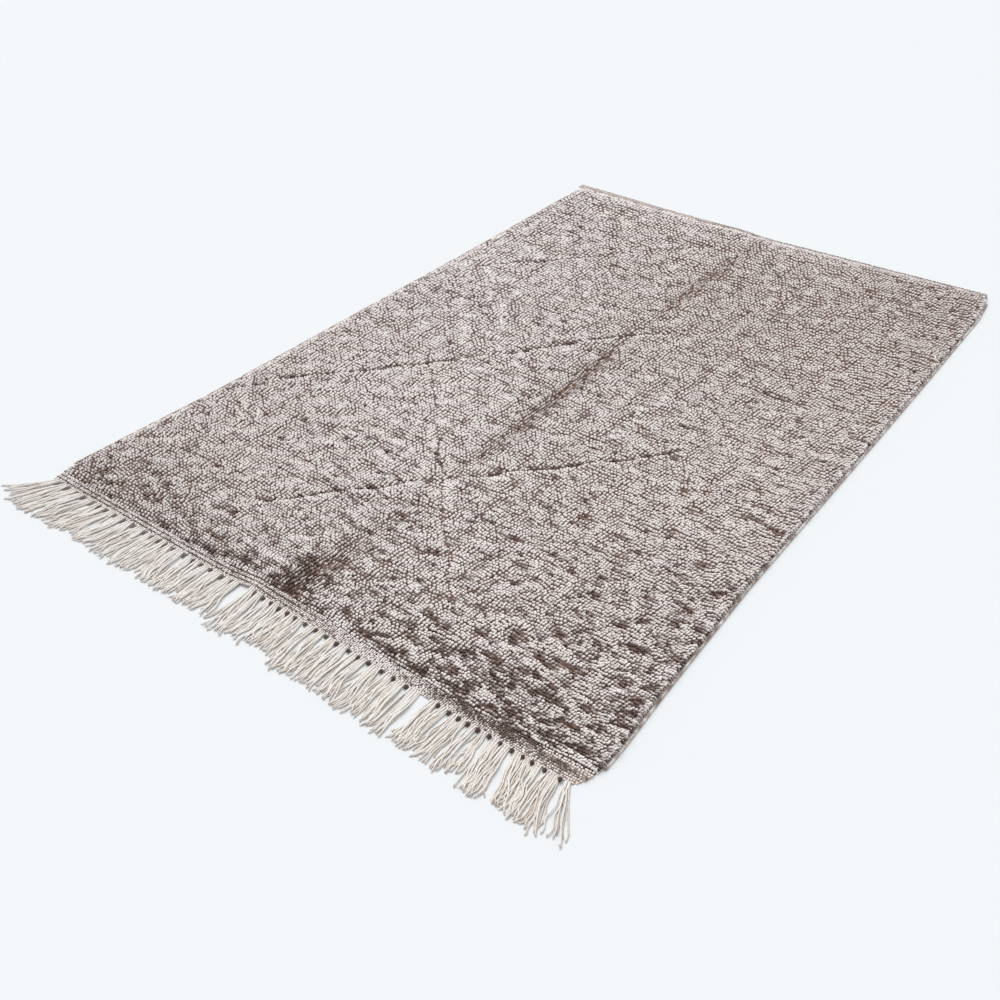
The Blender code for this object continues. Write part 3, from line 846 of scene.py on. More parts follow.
# The UV map keeps tone and painted light inside its edges, and gives each thread a little area
# in it.
TONE_MARGIN = 0.02
TONE_AREA = 0.01
LIGHT_MARGIN = 0.03
LIGHT_AREA = 0.02


def thread_places(shape, lines):
    """Where the points of each copy of a shape lie, bent along their lines."""
    level = shape.level
    offset = lines.side[:, level] * shape.points[:, 0, None] + lines.up[:, level] * shape.points[:, 1, None]
    places = lines.centre[:, level] + offset * lines.radius[:, level, None]
    places[..., 2] = np.maximum(places[..., 2], FLOOR_CLEARANCE)
    return places + LOOM


def thread_looks(shape, lines):
    """The tone and the painted light of the points of each copy of a shape."""
    tone = mix(TONE_MARGIN, 1 - TONE_MARGIN, np.clip(lines.tone[:, shape.level], 0, 1))
    tone = tone + shape.points[:, 0] * TONE_AREA
    light = mix(LIGHT_MARGIN, 1 - LIGHT_MARGIN, shape.light) + shape.points[:, 1] * LIGHT_AREA
    looks = np.stack([tone, np.broadcast_to(light, tone.shape)], axis=-1)
    return np.clip(looks, 0, 1).reshape(-1, 2)


def threads(name, shape, lines):
    """One mesh of many copies of a shape, each bent along its own line."""
    places = thread_places(shape, lines)
    count, size = places.shape[:2]
    mesh = bpy.data.meshes.new(name)
    mesh.vertices.add(count * size)
    mesh.vertices.foreach_set("co", places.astype(np.float32).ravel())
    copy = np.arange(count)[:, None]
    corners = (shape.corners + copy * size).ravel()
    mesh.loops.add(len(corners))
    mesh.loops.foreach_set("vertex_index", corners.astype(np.int32))
    starts = (shape.starts + copy * len(shape.corners)).ravel()
    mesh.polygons.add(len(starts))
    mesh.polygons.foreach_set("loop_start", starts.astype(np.int32))
    mesh.update(calc_edges=True)
    looks = thread_looks(shape, lines)[corners].astype(np.float32)
    mesh.uv_layers.new(name=UV_NAME).data.foreach_set("uv", looks.ravel())
    mesh.shade_smooth()
    made = bpy.data.objects.new(name, mesh)
    bpy.context.scene.collection.objects.link(made)
    return made


# ------------------------------------------------------------------ materials


class Wire:
    """A socket that takes part in arithmetic, which adds Math nodes."""

    def __init__(self, tree, socket):
        self.tree = tree
        self.socket = socket

    def math(self, operation, *values):
        node = self.tree.nodes.new("ShaderNodeMath")
        node.operation = operation
        for socket, value in zip(node.inputs, values):
            plug(self.tree, socket, value)
        return Wire(self.tree, node.outputs[0])

    def sine(self):
        return self.math("SINE", self)

    def __add__(self, other):
        return self.math("ADD", self, other)

    def __sub__(self, other):
        return self.math("SUBTRACT", self, other)

    def __rsub__(self, other):
        return self.math("SUBTRACT", other, self)

    def __mul__(self, other):
        return self.math("MULTIPLY", self, other)

    def __truediv__(self, other):
        return self.math("DIVIDE", self, other)

    __radd__ = __add__
    __rmul__ = __mul__


def plug(tree, socket, value):
    """Links a wire to a socket, or sets the socket to a value."""
    if isinstance(value, Wire):
        tree.links.new(value.socket, socket)
    else:
        socket.default_value = value


class Finish:
    """A material that is being put together around its Principled shader."""

    def __init__(self, name, **constants):
        self.material = bpy.data.materials.new(name)
        self.material.use_nodes = True
        self.tree = self.material.node_tree
        self.shader = self.tree.nodes["Principled BSDF"]
        self.set(**constants)

    def set(self, **values):
        """Sets sockets of the shader, whose names are written with _ for a space."""
        for name, value in values.items():
            plug(self.tree, self.shader.inputs[name.replace("_", " ")], value)

    def node(self, kind, settings, values, output):
        """A node with its settings made first, then its sockets, by name or number."""
        node = self.tree.nodes.new(kind)
        for name, value in settings.items():
            if name == "stops":
                self.set_stops(node.color_ramp, value)
            else:
                setattr(node, name, value)
        for name, value in values.items():
            plug(self.tree, node.inputs[name], value)
        return Wire(self.tree, node.outputs[output])

    @staticmethod
    def set_stops(ramp, stops):
        while len(ramp.elements) < len(stops):
            ramp.elements.new(0.5)
        for element, (place, colour) in zip(ramp.elements, stops):
            element.position = place
            element.color = (*colour, 1.0)

    def ramp(self, factor, *stops):
        return self.node("ShaderNodeValToRGB", {"stops": stops}, {"Fac": factor}, "Color")

    def mixed(self, factor, first, second):
        """A colour between two, by a factor."""
        names = {"data_type": "RGBA"}
        return self.node("ShaderNodeMix", names, {0: factor, 6: first, 7: second}, 2)

    def bumps(self, height, strength, distance):
        """The normal that small bumps of a height give."""
        values = {"Height": height, "Strength": strength, "Distance": distance}
        return self.node("ShaderNodeBump", {}, values, "Normal")


def colours():
    return bpy.context.scene.rug_colours


def opaque(colour):
    return (*colour, 1.0)


# The length of cord that a ply takes up, over which the painted shade between plies repeats,
# and how differently from each other cords start.
PLY_LENGTH = 0.0062
PLY_START = 90.0

# How much further down a light thread's painted light on its crown reaches than a dark one's.
FULL_CROWNS = 0.32


def thread_wool(name, crowns, creases, edge, twist=0.0):
    """Wool whose crowns and creases follow a thread's tone, with painted light on its crowns and
    painted shade in its creases. The creases end at an edge.

    A twist is how much its painted light changes from ply to ply of a twisted cord.
    """
    wool = Finish(name, Roughness=0.95, Sheen_Weight=0.25, Sheen_Roughness=0.5, Specular_IOR_Level=0.15)
    place = wool.node("ShaderNodeUVMap", {"uv_map": UV_NAME}, {}, "UV")
    tone = wool.node("ShaderNodeSeparateXYZ", {}, {0: place}, "X")
    light = wool.node("ShaderNodeSeparateXYZ", {}, {0: place}, "Y")
    if twist:
        laid = wool.node("ShaderNodeTexCoord", {}, {}, "Object")
        x = wool.node("ShaderNodeSeparateXYZ", {}, {0: laid}, "X")
        y = wool.node("ShaderNodeSeparateXYZ", {}, {0: laid}, "Y")
        light = light + ((x + y) * (math.tau / PLY_LENGTH) + tone * PLY_START).sine() * twist
    low, high = edge
    share = wool.node(
        "ShaderNodeMapRange",
        {"interpolation_type": "SMOOTHSTEP"},
        {"Value": light + (tone - 0.5) * FULL_CROWNS, "From Min": low, "From Max": high},
        "Result",
    )
    wool.set(Base_Color=wool.mixed(share, wool.ramp(tone, *creases), wool.ramp(tone, *crowns)))
    return wool.material


BLOTCH_SCALE = 90.0
KNOT_BACK_ACROSS = 0.0098
KNOT_BACK_ALONG = 0.0092
UNDERSIDE_HEIGHT = 0.0005


def ripple(place, pitch):
    """Even waves from 0 to 1."""
    return ((place * (math.tau / pitch)).sine() + 1) / 2


def shaded_ground_wool():
    """The ground between the locks, painted dark as shade down between them, and the rows of knot
    backs on the underside, with painted shade in the troughs between the backs.
    """
    shades = colours()
    wool = Finish("shaded_ground_wool", Roughness=0.95, Specular_IOR_Level=0.1)
    place = wool.node("ShaderNodeTexCoord", {}, {}, "Object")
    z = wool.node("ShaderNodeSeparateXYZ", {}, {0: place}, "Z")
    x = wool.node("ShaderNodeSeparateXYZ", {}, {0: place}, "X")
    y = wool.node("ShaderNodeSeparateXYZ", {}, {0: place}, "Y")
    noise_values = {"Vector": place, "Scale": BLOTCH_SCALE, "Detail": 3.0}
    blotch = wool.node("ShaderNodeTexNoise", {}, noise_values, "Fac")
    # Painted shade: the top runs from root to brown, blotched at random, as the dark down between the
    # locks.
    top = wool.ramp(blotch, (0.35, tuple(shades.root)), (0.9, tuple(shades.brown)))
    knots = ripple(x, KNOT_BACK_ACROSS) * ripple(y, KNOT_BACK_ALONG)
    # The knot backs are grey and cream, with painted shade in root colour in the troughs between them.
    back_stops = (
        (0.20, tuple(shades.root)),
        (0.50, tuple(shades.grey)),
        (0.85, tuple(shades.cream)),
    )
    back = wool.ramp(knots * 0.5 + blotch * 0.5, *back_stops)
    under = z.math("LESS_THAN", z, UNDERSIDE_HEIGHT)
    wool.set(Base_Color=wool.mixed(under, top, back))
    wool.set(Normal=wool.bumps(knots * under + blotch * 0.4, strength=0.5, distance=0.001))
    return wool.material


def dressed(piece, material):
    """Gives a piece its material, and has it ride with the rug."""
    piece.data.materials.append(material)
    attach(piece, "root")
    return piece


# ------------------------------------------------------------------ stage

# The camera, in loom coordinates, as the photograph's view gives it.
CAMERA_PLACE = Vector((2.196, -1.059, 1.634))
CAMERA_HEADING = math.radians(36.44)
CAMERA_TILT = math.radians(38.08)
CAMERA_ROLL = math.radians(0.24)
LENS_MM = 37.93
FLOOR_SIZE = 60.0
WORLD_STRENGTH = 0.675
# The key light comes from the left and a little from behind, as through a wide white screen.
KEY_FROM = (-0.85, 0.45, 1.15)
KEY_SPREAD = math.radians(50)
KEY_STRENGTH = 1.90
SKY_COLOUR = (0.95, 0.98, 1.0)


class RUG_OT_stage(bpy.types.Operator):
    """Make the floor, the soft lights and the camera"""

    bl_idname = "rug.stage"
    bl_label = "Stage"

    def execute(self, context):
        fresh()
        lay_floor()
        light_studio(context.scene)
        set_camera(context.scene)
        return {"FINISHED"}


def lay_floor():
    bpy.ops.mesh.primitive_plane_add(size=FLOOR_SIZE)
    floor = bpy.context.object
    floor.name = "floor"
    finish = Finish("floor_paint", Roughness=0.9, Specular_IOR_Level=0.1)
    finish.set(Base_Color=opaque(colours().floor))
    floor.data.materials.append(finish.material)


def light_studio(scene):
    """One wide key light, and an even sky for the rest."""
    bpy.ops.object.light_add(type="SUN", location=KEY_FROM)
    key = bpy.context.object
    key.name = "key_light"
    key.data.angle = KEY_SPREAD
    key.data.energy = KEY_STRENGTH
    key.rotation_euler = (-Vector(KEY_FROM)).to_track_quat("-Z", "Y").to_euler()
    world = bpy.data.worlds.new("studio")
    world.use_nodes = True
    sky = world.node_tree.nodes["Background"]
    sky.inputs["Color"].default_value = opaque(SKY_COLOUR)
    sky.inputs["Strength"].default_value = WORLD_STRENGTH
    scene.world = world
    scene.view_settings.view_transform = "Standard"


def set_camera(scene):
    """The camera stands where the photograph was taken from."""
    bpy.ops.object.camera_add()
    camera = bpy.context.object
    camera.name = "photo_view"
    turn = Matrix.Rotation(CAMERA_HEADING, 4, "Z") @ Matrix.Rotation(math.pi / 2 - CAMERA_TILT, 4, "X")
    turn = turn @ Matrix.Rotation(CAMERA_ROLL, 4, "Z")
    camera.matrix_world = Matrix.Translation(CAMERA_PLACE + Vector(LOOM)) @ turn
    camera.data.lens = LENS_MM
    camera.data.clip_end = 2 * FLOOR_SIZE
    scene.camera = camera


# ------------------------------------------------------------------ pile

GROUND_COLUMNS = 96
GROUND_ROWS = 132
GROUND_RIM_HEIGHT = 0.0045
GROUND_LEAST = 0.0015
GROUND_RIM_REACH = 0.004
EDGE_SHARE = 0.001
PILE_STRIPS = 4
Tone = namedtuple("Tone", "x tone")
PILE_TONES = (Tone(0.0, 0.73), Tone(0.55, 0.78), Tone(1.1, 0.85), Tone(1.6, 0.82))
LOCK_TONE_SPREAD = 0.15
LOCK_HEIGHT_SPREAD = 0.0003
LOCK_SIZES = (0.94, 1.06)
RIM_LOCK_SIZES = (0.85, 1.05)
RIM_SCATTER = 0.0006
LOCKS_FROM = 0.035
LOCKS_TO = 2.470
LOCK_MARGIN = 0.001
LOCK_ROW_MARGIN = 0.05
LEAST_ROOT = 0.0006
STREAK_HEIGHT = 0.004
FULL_LEAN = 0.016
LEAN_CURVE = 1.7
LEAN_DROP = 0.2
TIP_LEAN_NEAR = 0.0035
TIP_LEAN_REACH = 0.10
TIP_SCATTER = 0.0004
NEAR_LEAN_REACH = 0.30
LEAN_TURN = 0.25
LEAN_SCATTER = 0.12
LOCK_SCATTER = 0.10
LEANING_FULLNESS = 0.97
# Leaning locks take a higher tone, so that painted light reaches further down their upper sides.
LEANING_PAINTED_LIGHT = 0.08
# A direction that no lock runs along.
ASKEW = (0.02, 1.0, 0.05)

# How far the tips lean to the right across the rug, and how many times that at the near end.
Lean = namedtuple("Lean", "x across")
LEANS = (Lean(0.0, 0.0000), Lean(0.6, 0.0018), Lean(1.1, 0.0055), Lean(1.6, 0.0085))
NEAR_LEANS = (Lean(0.0, 1.0), Lean(0.5, 1.6), Lean(1.0, 1.4), Lean(1.6, 1.1))

# The locks that roll over the edges. Their heights are shares of the pile's height there. Their
# tones are below the pile's, lowest in the lower row: painted shade on the rolled edge.
Rim = namedtuple("Rim", "root_in root_share reach tip_share tone")
RIMS = (
    Rim(0.006, 0.40, 0.0060, 0.74, 0.60),
    Rim(0.004, 0.10, 0.0090, 0.40, 0.52),
)


class RUG_OT_ground(bpy.types.Operator):
    """Make the ground weave that carries the pile"""

    bl_idname = "rug.ground"
    bl_label = "Ground Weave"

    def execute(self, context):
        fresh()
        bpy.ops.mesh.primitive_grid_add(x_subdivisions=GROUND_COLUMNS, y_subdivisions=GROUND_ROWS, size=1.0)
        ground = context.object
        ground.name = ground.data.name = "pile_ground"
        bpy.ops.object.mode_set(mode="EDIT")
        bpy.ops.mesh.select_all(action="SELECT")
        bpy.ops.mesh.region_to_loop()
        for _ in range(2):
            bpy.ops.mesh.extrude_region_move(TRANSFORM_OT_translate={"value": (0, 0, -1)})
        bpy.ops.mesh.edge_face_add()
        bpy.ops.mesh.select_all(action="SELECT")
        bpy.ops.mesh.normals_make_consistent(inside=False)
        bpy.ops.object.mode_set(mode="OBJECT")
        lay_ground(ground.data)
        bpy.ops.object.shade_smooth_by_angle(angle=math.radians(50))
        dressed(ground, shaded_ground_wool())
        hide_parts("pile_field")
        return {"FINISHED"}


def lay_ground(mesh):
    """Moves the ground's flat grid and its two steps of rim to their place under the pile."""
    places = np.empty((len(mesh.vertices), 3), np.float32)
    mesh.vertices.foreach_get("co", places.ravel())
    across, share, step = places[:, 0] + 0.5, places[:, 1] + 0.5, places[:, 2]
    row = share * ROWS
    x, y = pile_place(across, row)
    sunk, _, _ = relief(across, row, x, y)
    z = np.maximum(pile_height(x, y, sunk) - bpy.context.scene.rug_sizes.ground_depth, GROUND_LEAST)
    out_x = (across > 1 - EDGE_SHARE).astype(float) - (across < EDGE_SHARE)
    out_y = (share > 1 - EDGE_SHARE).astype(float) - (share < EDGE_SHARE)
    edge = np.abs(out_x) + np.abs(out_y) > 0
    rim = step < -0.5
    foot = step < -1.5
    reach_x = np.where(foot, SHOULDER_INSET - SIDE_FOOT_INSET, GROUND_RIM_REACH) * rim
    reach_y = np.where(foot, SHOULDER_INSET - END_FOOT_INSET, GROUND_RIM_REACH) * rim
    x = x + out_x * reach_x
    y = y + out_y * reach_y
    z = np.where(rim, np.minimum(z, GROUND_RIM_HEIGHT), z)
    z = np.where(foot, 0.0, z)
    laid = np.stack([x, y, z], axis=1) + LOOM
    mesh.vertices.foreach_set("co", laid.astype(np.float32).ravel())
    mesh.update()


def lock_places(rng):
    """The locks of the pile, row by row, as shares of its width and as rows of its grid."""
    levels = [0, *(level.row for level in LEVELS), ROWS]
    middles = [LOCKS_FROM, *((level.left_y + level.right_y) / 2 for level in LEVELS), LOCKS_TO]
    y, count = counted(LOCKS_ALONG, middles[-1] - middles[0])
    rows = np.arange(round(count[-1]))
    along = np.interp((rows + 0.5) * count[-1] / len(rows), count, y) + middles[0]
    x, count = counted(LOCKS_ACROSS, RUG_WIDTH)
    column, row = (values.ravel() for values in np.meshgrid(np.arange(round(count[-1])), rows))
    column = (column + 0.5) * read(LOCKS_ALONG, along, "growth_across")[row]
    column, row = column[column < count[-1] - 0.3], row[column < count[-1] - 0.3]
    column = column + rng.normal(0, LOCK_SCATTER, len(row))
    column += drift(LOCK_BEND, column, row)
    turn = drift(ROW_BEND, column, row)
    along = np.interp(row + rng.normal(0, LOCK_SCATTER, len(row)) + turn, rows, along)
    across = np.interp(column, count, x) / RUG_WIDTH
    row = np.interp(along, middles, levels)
    across = np.clip(across, LOCK_MARGIN, 1 - LOCK_MARGIN)
    return across, np.clip(row, LOCK_ROW_MARGIN, ROWS - LOCK_ROW_MARGIN)


def lock_radius(x, y):
    """Half the thickness of the locks at places of the pile."""
    sizes = bpy.context.scene.rug_sizes
    across = read(LOCKS_ACROSS, x, "pitch") * read(LOCKS_ALONG, y, "growth_across")
    pitch = np.minimum(across, read(LOCKS_ALONG, y, "pitch"))
    return pitch * sizes.lock_scale / 2 * sizes.lock_fullness


def lock_lines(root, tip, radius, tone, rng):
    """Lines of locks that leave their roots upright and lean over towards their tips."""
    lean = np.clip(np.linalg.norm((tip - root)[:, :2], axis=1) / FULL_LEAN, 0, 1)[:, None]
    root[:, 2] = np.maximum(root[:, 2], LEAST_ROOT)
    stops = []
    for share in (0, LOCK.low, LOCK.high, 1):
        aside = mix(share, share**LEAN_CURVE, lean)
        up = mix(share, 1 - (1 - share) ** LEAN_CURVE, lean)
        stops.append(root + (tip - root) * np.concatenate([aside, aside, up], axis=1))
    turn = rng.uniform(0, math.tau, len(root))
    return lines_along(np.stack(stops, axis=1), radius[:, None], tone[:, None], ASKEW, turn)


def tip_push(rng, x, y, parted):
    """How far the tips stand aside from their roots, parted and leaning to the right."""
    push = parted + rng.normal(0, TIP_SCATTER, parted.shape)
    near = mix(1.0, read(NEAR_LEANS, x, "across"), np.exp(-y / NEAR_LEAN_REACH))
    aside = (read(LEANS, x, "across") * near)[:, None]
    push += aside * np.array([1.0, LEAN_TURN]) + rng.normal(0, LEAN_SCATTER, push.shape) * aside
    push[:, 1] -= TIP_LEAN_NEAR * np.exp(-y / TIP_LEAN_REACH)
    return push


def lock_tone(rng, x, y, shade):
    """The tone of the pile's locks, with a shade that has been worked out for each."""
    flecks = drift(FLECKS, x, y) * read(FLECK_ROWS, y, "strength")
    tone = read(PILE_TONES, x, "tone") + shade + patch_shade(x, y, PATCHES) + flecks
    return tone + rng.normal(0, LOCK_TONE_SPREAD, len(x)) + patch_shade(x, y, CREAM_PATCHES)


def pile_lines(rng):
    """The lines of all the pile's locks, row by row."""
    across, row = lock_places(rng)
    x, y = pile_place(across, row)
    x = gathered(x, y)
    sunk, shade, push = relief(across, row, x, y)
    parted, streaks = partings(x, y)
    push = tip_push(rng, x, y, push + parted)
    scatter = rng.normal(0, LOCK_HEIGHT_SPREAD, len(x))
    height = pile_height(x, y, sunk) + streaks * STREAK_HEIGHT + scatter
    root = np.stack([x, y, height - bpy.context.scene.rug_sizes.lock_length], axis=1)
    lean = np.linalg.norm(push, axis=1)
    tip = np.stack([x + push[:, 0], y + push[:, 1], height - lean * LEAN_DROP], axis=1)
    leaning = rising(lean, 0, FULL_LEAN)
    # Painted light on leaning locks.
    tone = lock_tone(rng, x, y, streaks + shade) + LEANING_PAINTED_LIGHT * leaning
    slim = mix(1, LEANING_FULLNESS, leaning) * mix(1, FOLD_FULLNESS, fold_strength(x, y))
    radius = lock_radius(x, y) * slim * rng.uniform(*LOCK_SIZES, len(x))
    return lock_lines(root, tip, radius, np.clip(tone, 0, 1), rng)


class RUG_OT_pile(bpy.types.Operator):
    """Knot the pile, row by row"""

    bl_idname = "rug.pile"
    bl_label = "Pile"

    def execute(self, context):
        rng = np.random.default_rng(SEED)
        lines = pile_lines(rng)
        shape = lock_shape()
        wool = pile_wool()
        strips = np.array_split(np.arange(len(lines.centre)), PILE_STRIPS)
        for number, part in enumerate(strips, start=1):
            strip = threads(f"pile_{number}", shape, Lines(*(value[part] for value in lines)))
            dressed(strip, wool)
        dressed(threads("pile_rim", shape, rim_lines(rng)), wool)
        return {"FINISHED"}


def pile_wool():
    shades = colours()
    crowns = (
        (0.00, tuple(shades.brown)),
        (0.22, tuple(shades.grey)),
        (0.60, tuple(shades.ivory)),
    )
    # creases: painted shade in the creases and at the roots of the locks and knots, lighter for lighter
    # tones.
    creases = (
        (0.15, tuple(shades.root)),
        (0.66, tuple(shades.flank_shade)),
        (0.95, tuple(shades.grey)),
    )
    return thread_wool("pile_wool", crowns, creases, (0.57, 0.99))


def rim_places(out_x, out_y):
    """Where the locks of one edge of the pile stand. The edge is named by the way out over it."""
    table, length = (LOCKS_ACROSS, RUG_WIDTH) if out_y else (LOCKS_ALONG, LENGTHWAYS)
    places, count = counted(table, length)
    number = round(count[-1])
    places = np.interp((np.arange(number) + 0.5) * count[-1] / number, count, places)
    share = places / length
    across = share if out_y else np.full_like(share, 0.5 + out_x / 2)
    row = np.full_like(share, (0.5 + out_y / 2) * ROWS) if out_y else share * ROWS
    return pile_place(across, row)


def rim_lines(rng):
    """The locks that roll over the pile's edges at its sides and its far end."""
    parts = []
    for out_x, out_y in ((-1, 0), (1, 0), (0, 1)):
        x, y = rim_places(out_x, out_y)
        height = pile_height(x, y, 0)
        for rim in RIMS:
            scatter = rng.normal(0, RIM_SCATTER, (len(x), 3))
            root = np.stack([x - out_x * rim.root_in, y - out_y * rim.root_in, height * rim.root_share], 1)
            reach = rim.reach + scatter[:, 2]
            z = height * rim.tip_share + scatter[:, 1] / 2
            tip = np.stack([x + out_x * reach, y + out_y * reach, z], 1)
            tip[:, 1 if out_x else 0] += scatter[:, 0]
            # Painted shade: a rim's tone lies below the pile's.
            tone = rim.tone + patch_shade(x, y, PATCHES) + partings(x, y)[1]
            parts.append((root, tip, lock_radius(x, y), tone))
    root, tip, radius, tone = (np.concatenate(values) for values in zip(*parts))
    tone = np.clip(tone + rng.normal(0, LOCK_TONE_SPREAD, len(tone)), 0, 1)
    return lock_lines(root, tip, radius * rng.uniform(*RIM_LOCK_SIZES, len(tone)), tone, rng)


# ------------------------------------------------------------------ flat-woven ends

WEAVE_THICKNESS = 0.001
WEAVE_SCALE = 420.0
BAND_LEFT = -0.013
BAND_RIGHT = 1.583
BAND_SECTIONS = 120
BAND_ROWS = 4
NEAR_OVERLAP = 0.009
FAR_OVERLAP = 0.004
SIDE_GAP = 0.005
SIDE_CURVE = 12
NEAR_KNOT_ROWS = 8
FAR_KNOT_ROWS = 3
KNOT_RADIUS = 0.0027
KNOT_HEIGHT = 0.0040
KNOT_RISE = 0.0035
KNOT_LEAN = 0.0007
KNOT_SCATTER = 0.16
KNOT_TONE_SPREAD = 0.19
KNOT_SIZES = (0.9, 1.1)

# The near band's tone, and how much its darker and lighter parts change it.
NEAR_TONE = 0.68
BROWN_BACK_TONE = 0.62
CREAM_BACK_TONE = 1.0
RIB_TONE = 0.7
RIBS = (0.31, 0.69)
RIB_WIDTH = 0.08


def woven_slab(name, front, back, lift):
    """A thin slab of cloth between two edges, given as functions of x. A lift is 0 or 1."""
    fresh()
    bpy.ops.mesh.primitive_grid_add(x_subdivisions=BAND_SECTIONS, y_subdivisions=BAND_ROWS, size=1.0)
    slab = bpy.context.object
    slab.name = slab.data.name = name
    bpy.ops.object.mode_set(mode="EDIT")
    bpy.ops.mesh.select_all(action="SELECT")
    bpy.ops.mesh.extrude_region_move(TRANSFORM_OT_translate={"value": (0, 0, -1)})
    bpy.ops.mesh.select_all(action="SELECT")
    bpy.ops.mesh.normals_make_consistent(inside=False)
    bpy.ops.object.mode_set(mode="OBJECT")
    places = np.empty((len(slab.data.vertices), 3), np.float32)
    slab.data.vertices.foreach_get("co", places.ravel())
    x = mix(BAND_LEFT, BAND_RIGHT, places[:, 0] + 0.5)
    share = places[:, 1] + 0.5
    z = np.where(places[:, 2] > -0.5, WEAVE_THICKNESS, 0.0)
    z += read(NEAR_END, x, "lift") * (1 - share**2) * lift
    y = mix(front(x), back(x), share)
    laid = np.stack([x + to_the_side(x, y), y, z], axis=1) + LOOM
    slab.data.vertices.foreach_set("co", laid.astype(np.float32).ravel())
    slab.data.update()
    return slab


def to_the_side(x, y):
    """How far a band's places move so that its right end follows the rug's side."""
    share = rising(x, BAND_LEFT, BAND_RIGHT)
    return (read(SIDES, y, "right") - SIDE_GAP - BAND_RIGHT) * share**SIDE_CURVE


def knot_lines(rng, rows, front, back, lift, tone_at):
    """Rows of low knots between two edges. A lifted band's stand higher towards the pile."""
    pitch = bpy.context.scene.rug_sizes.knot_pitch
    count = round((BAND_RIGHT - BAND_LEFT) / pitch)
    column, row = (values.ravel() for values in np.meshgrid(np.arange(count), np.arange(rows)))
    x = mix(BAND_LEFT, BAND_RIGHT, (column + 0.5 + rng.normal(0, KNOT_SCATTER, column.size)) / count)
    share = (row + 0.5 + rng.normal(0, KNOT_SCATTER / 2, row.size)) / rows
    y = mix(front(x), back(x), share)
    x = x + to_the_side(x, y)
    z = read(NEAR_END, x, "lift") * (1 - share**2) * lift + KNOT_RISE * share * lift
    lean = rng.normal(0, KNOT_LEAN, (2, len(x)))
    root = np.stack([x, y, z], axis=1)
    top = z + KNOT_HEIGHT * rng.uniform(*KNOT_SIZES, len(x))
    tip = np.stack([x + lean[0], y + lean[1], top], axis=1)
    tone = np.clip(tone_at(x, share) + rng.normal(0, KNOT_TONE_SPREAD, len(x)), 0, 1)
    return lock_lines(root, tip, np.full_like(x, KNOT_RADIUS), tone, rng)


def weave_wool():
    shades = colours()
    crowns = (
        (0.00, tuple(shades.brown)),
        (0.30, tuple(shades.beige)),
        (0.65, tuple(shades.cream)),
    )
    # creases: painted shade at the roots of the far band's knots and of the weft ends.
    creases = ((0.0, tuple(shades.root)), (0.9, tuple(shades.beige)))
    return thread_wool("weave_wool", crowns, creases, (0.50, 0.95))


def near_tone(x, share):
    """The near band's tone: cream with dark ribs to the left, brown towards the pile to the right."""
    streaks = drift(KNOT_STREAKS, x, share * 2 + x * 5)
    brown_back = rising(x, 1.10, 1.35) * rising(share, 0.28, 0.48)
    cream_back = rising(share, 0.8 - 1 / 6, 0.8) * rising(x, 1.480, 1.505)
    ribs = sum(bump(share - rib, RIB_WIDTH) for rib in RIBS) * (1 - rising(x, 0.75, 1.0))
    lighter = NEAR_TONE + streaks + CREAM_BACK_TONE * cream_back
    return lighter - BROWN_BACK_TONE * brown_back - RIB_TONE * ribs


def far_tone(x, share):
    """The far band's tone: cream to the left, and darker past it."""
    return mix(0.9, 0.3, rising(x, 0.55, 0.67))


class RUG_OT_near_band(bpy.types.Operator):
    """Weave the flat band at the near end"""

    bl_idname = "rug.near_band"
    bl_label = "Near Band"

    def execute(self, context):
        rng = np.random.default_rng(SEED + 1)

        def front(x):
            return read(NEAR_END, x, "band_front")

        def back(x):
            return read(NEAR_END, x, "pile_edge") + NEAR_OVERLAP

        cloth = dressed(woven_slab("near_band_cloth", front, back, 1), woven_cloth())
        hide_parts("near_end_band")
        lines = knot_lines(rng, NEAR_KNOT_ROWS, front, back, 1, near_tone)
        dressed(threads("near_band_knots", lock_shape(), lines), pile_wool())
        return {"FINISHED"}


def woven_cloth():
    """The cloth under the low knots of the rug's ends."""
    shades = colours()
    wool = Finish("woven_cloth", Roughness=0.95, Specular_IOR_Level=0.1)
    place = wool.node("ShaderNodeTexCoord", {}, {}, "Object")
    noise_values = {"Vector": place, "Scale": WEAVE_SCALE, "Detail": 2.0}
    fleck = wool.node("ShaderNodeTexNoise", {}, noise_values, "Fac")
    wool.set(Base_Color=wool.ramp(fleck, (0.35, tuple(shades.brown)), (0.60, tuple(shades.beige))))
    wool.set(Normal=wool.bumps(fleck, strength=0.4, distance=0.0006))
    return wool.material


class RUG_OT_far_band(bpy.types.Operator):
    """Weave the plain edge at the far end"""

    bl_idname = "rug.far_band"
    bl_label = "Far Band"

    def execute(self, context):
        rng = np.random.default_rng(SEED + 2)

        def front(x):
            return read(FAR_END, x, "pile_edge") - FAR_OVERLAP

        def back(x):
            return read(FAR_END, x, "band_edge")

        cloth = dressed(woven_slab("far_band_cloth", front, back, 0), woven_cloth())
        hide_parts("far_end_band")
        lines = knot_lines(rng, FAR_KNOT_ROWS, front, back, 0, far_tone)
        dressed(threads("far_band_knots", lock_shape(), lines), weave_wool())
        return {"FINISHED"}


# ------------------------------------------------------------------ fringe

GROUP_WIDTH = 0.026
ROOT_PITCH = 0.0031
ROOT_INSIDE = 0.002
FAN_CURVE = 1.2
TIP_SCATTER_ACROSS = 0.0085
TIP_SCATTER_ALONG = 0.0035
HOOK_FROM = 0.74
HOOK_REACH = 0.004
TOGETHER = 0.6
CORD_TONE_SPREAD = 0.08
TIP_TONE_LOSS = 0.18
CORD_PLIES = 2
CORD_PINCH = 0.18
# A cord's painted light: its twist creases keep CORD_CREASE_LIGHT of it, and it is full on the cord's top
# and falls to nothing at its sides, which with its underside get painted shade.
CORD_CREASE_LIGHT = 0.7
CORD_UPPER_SIDE = 1 / 1.3

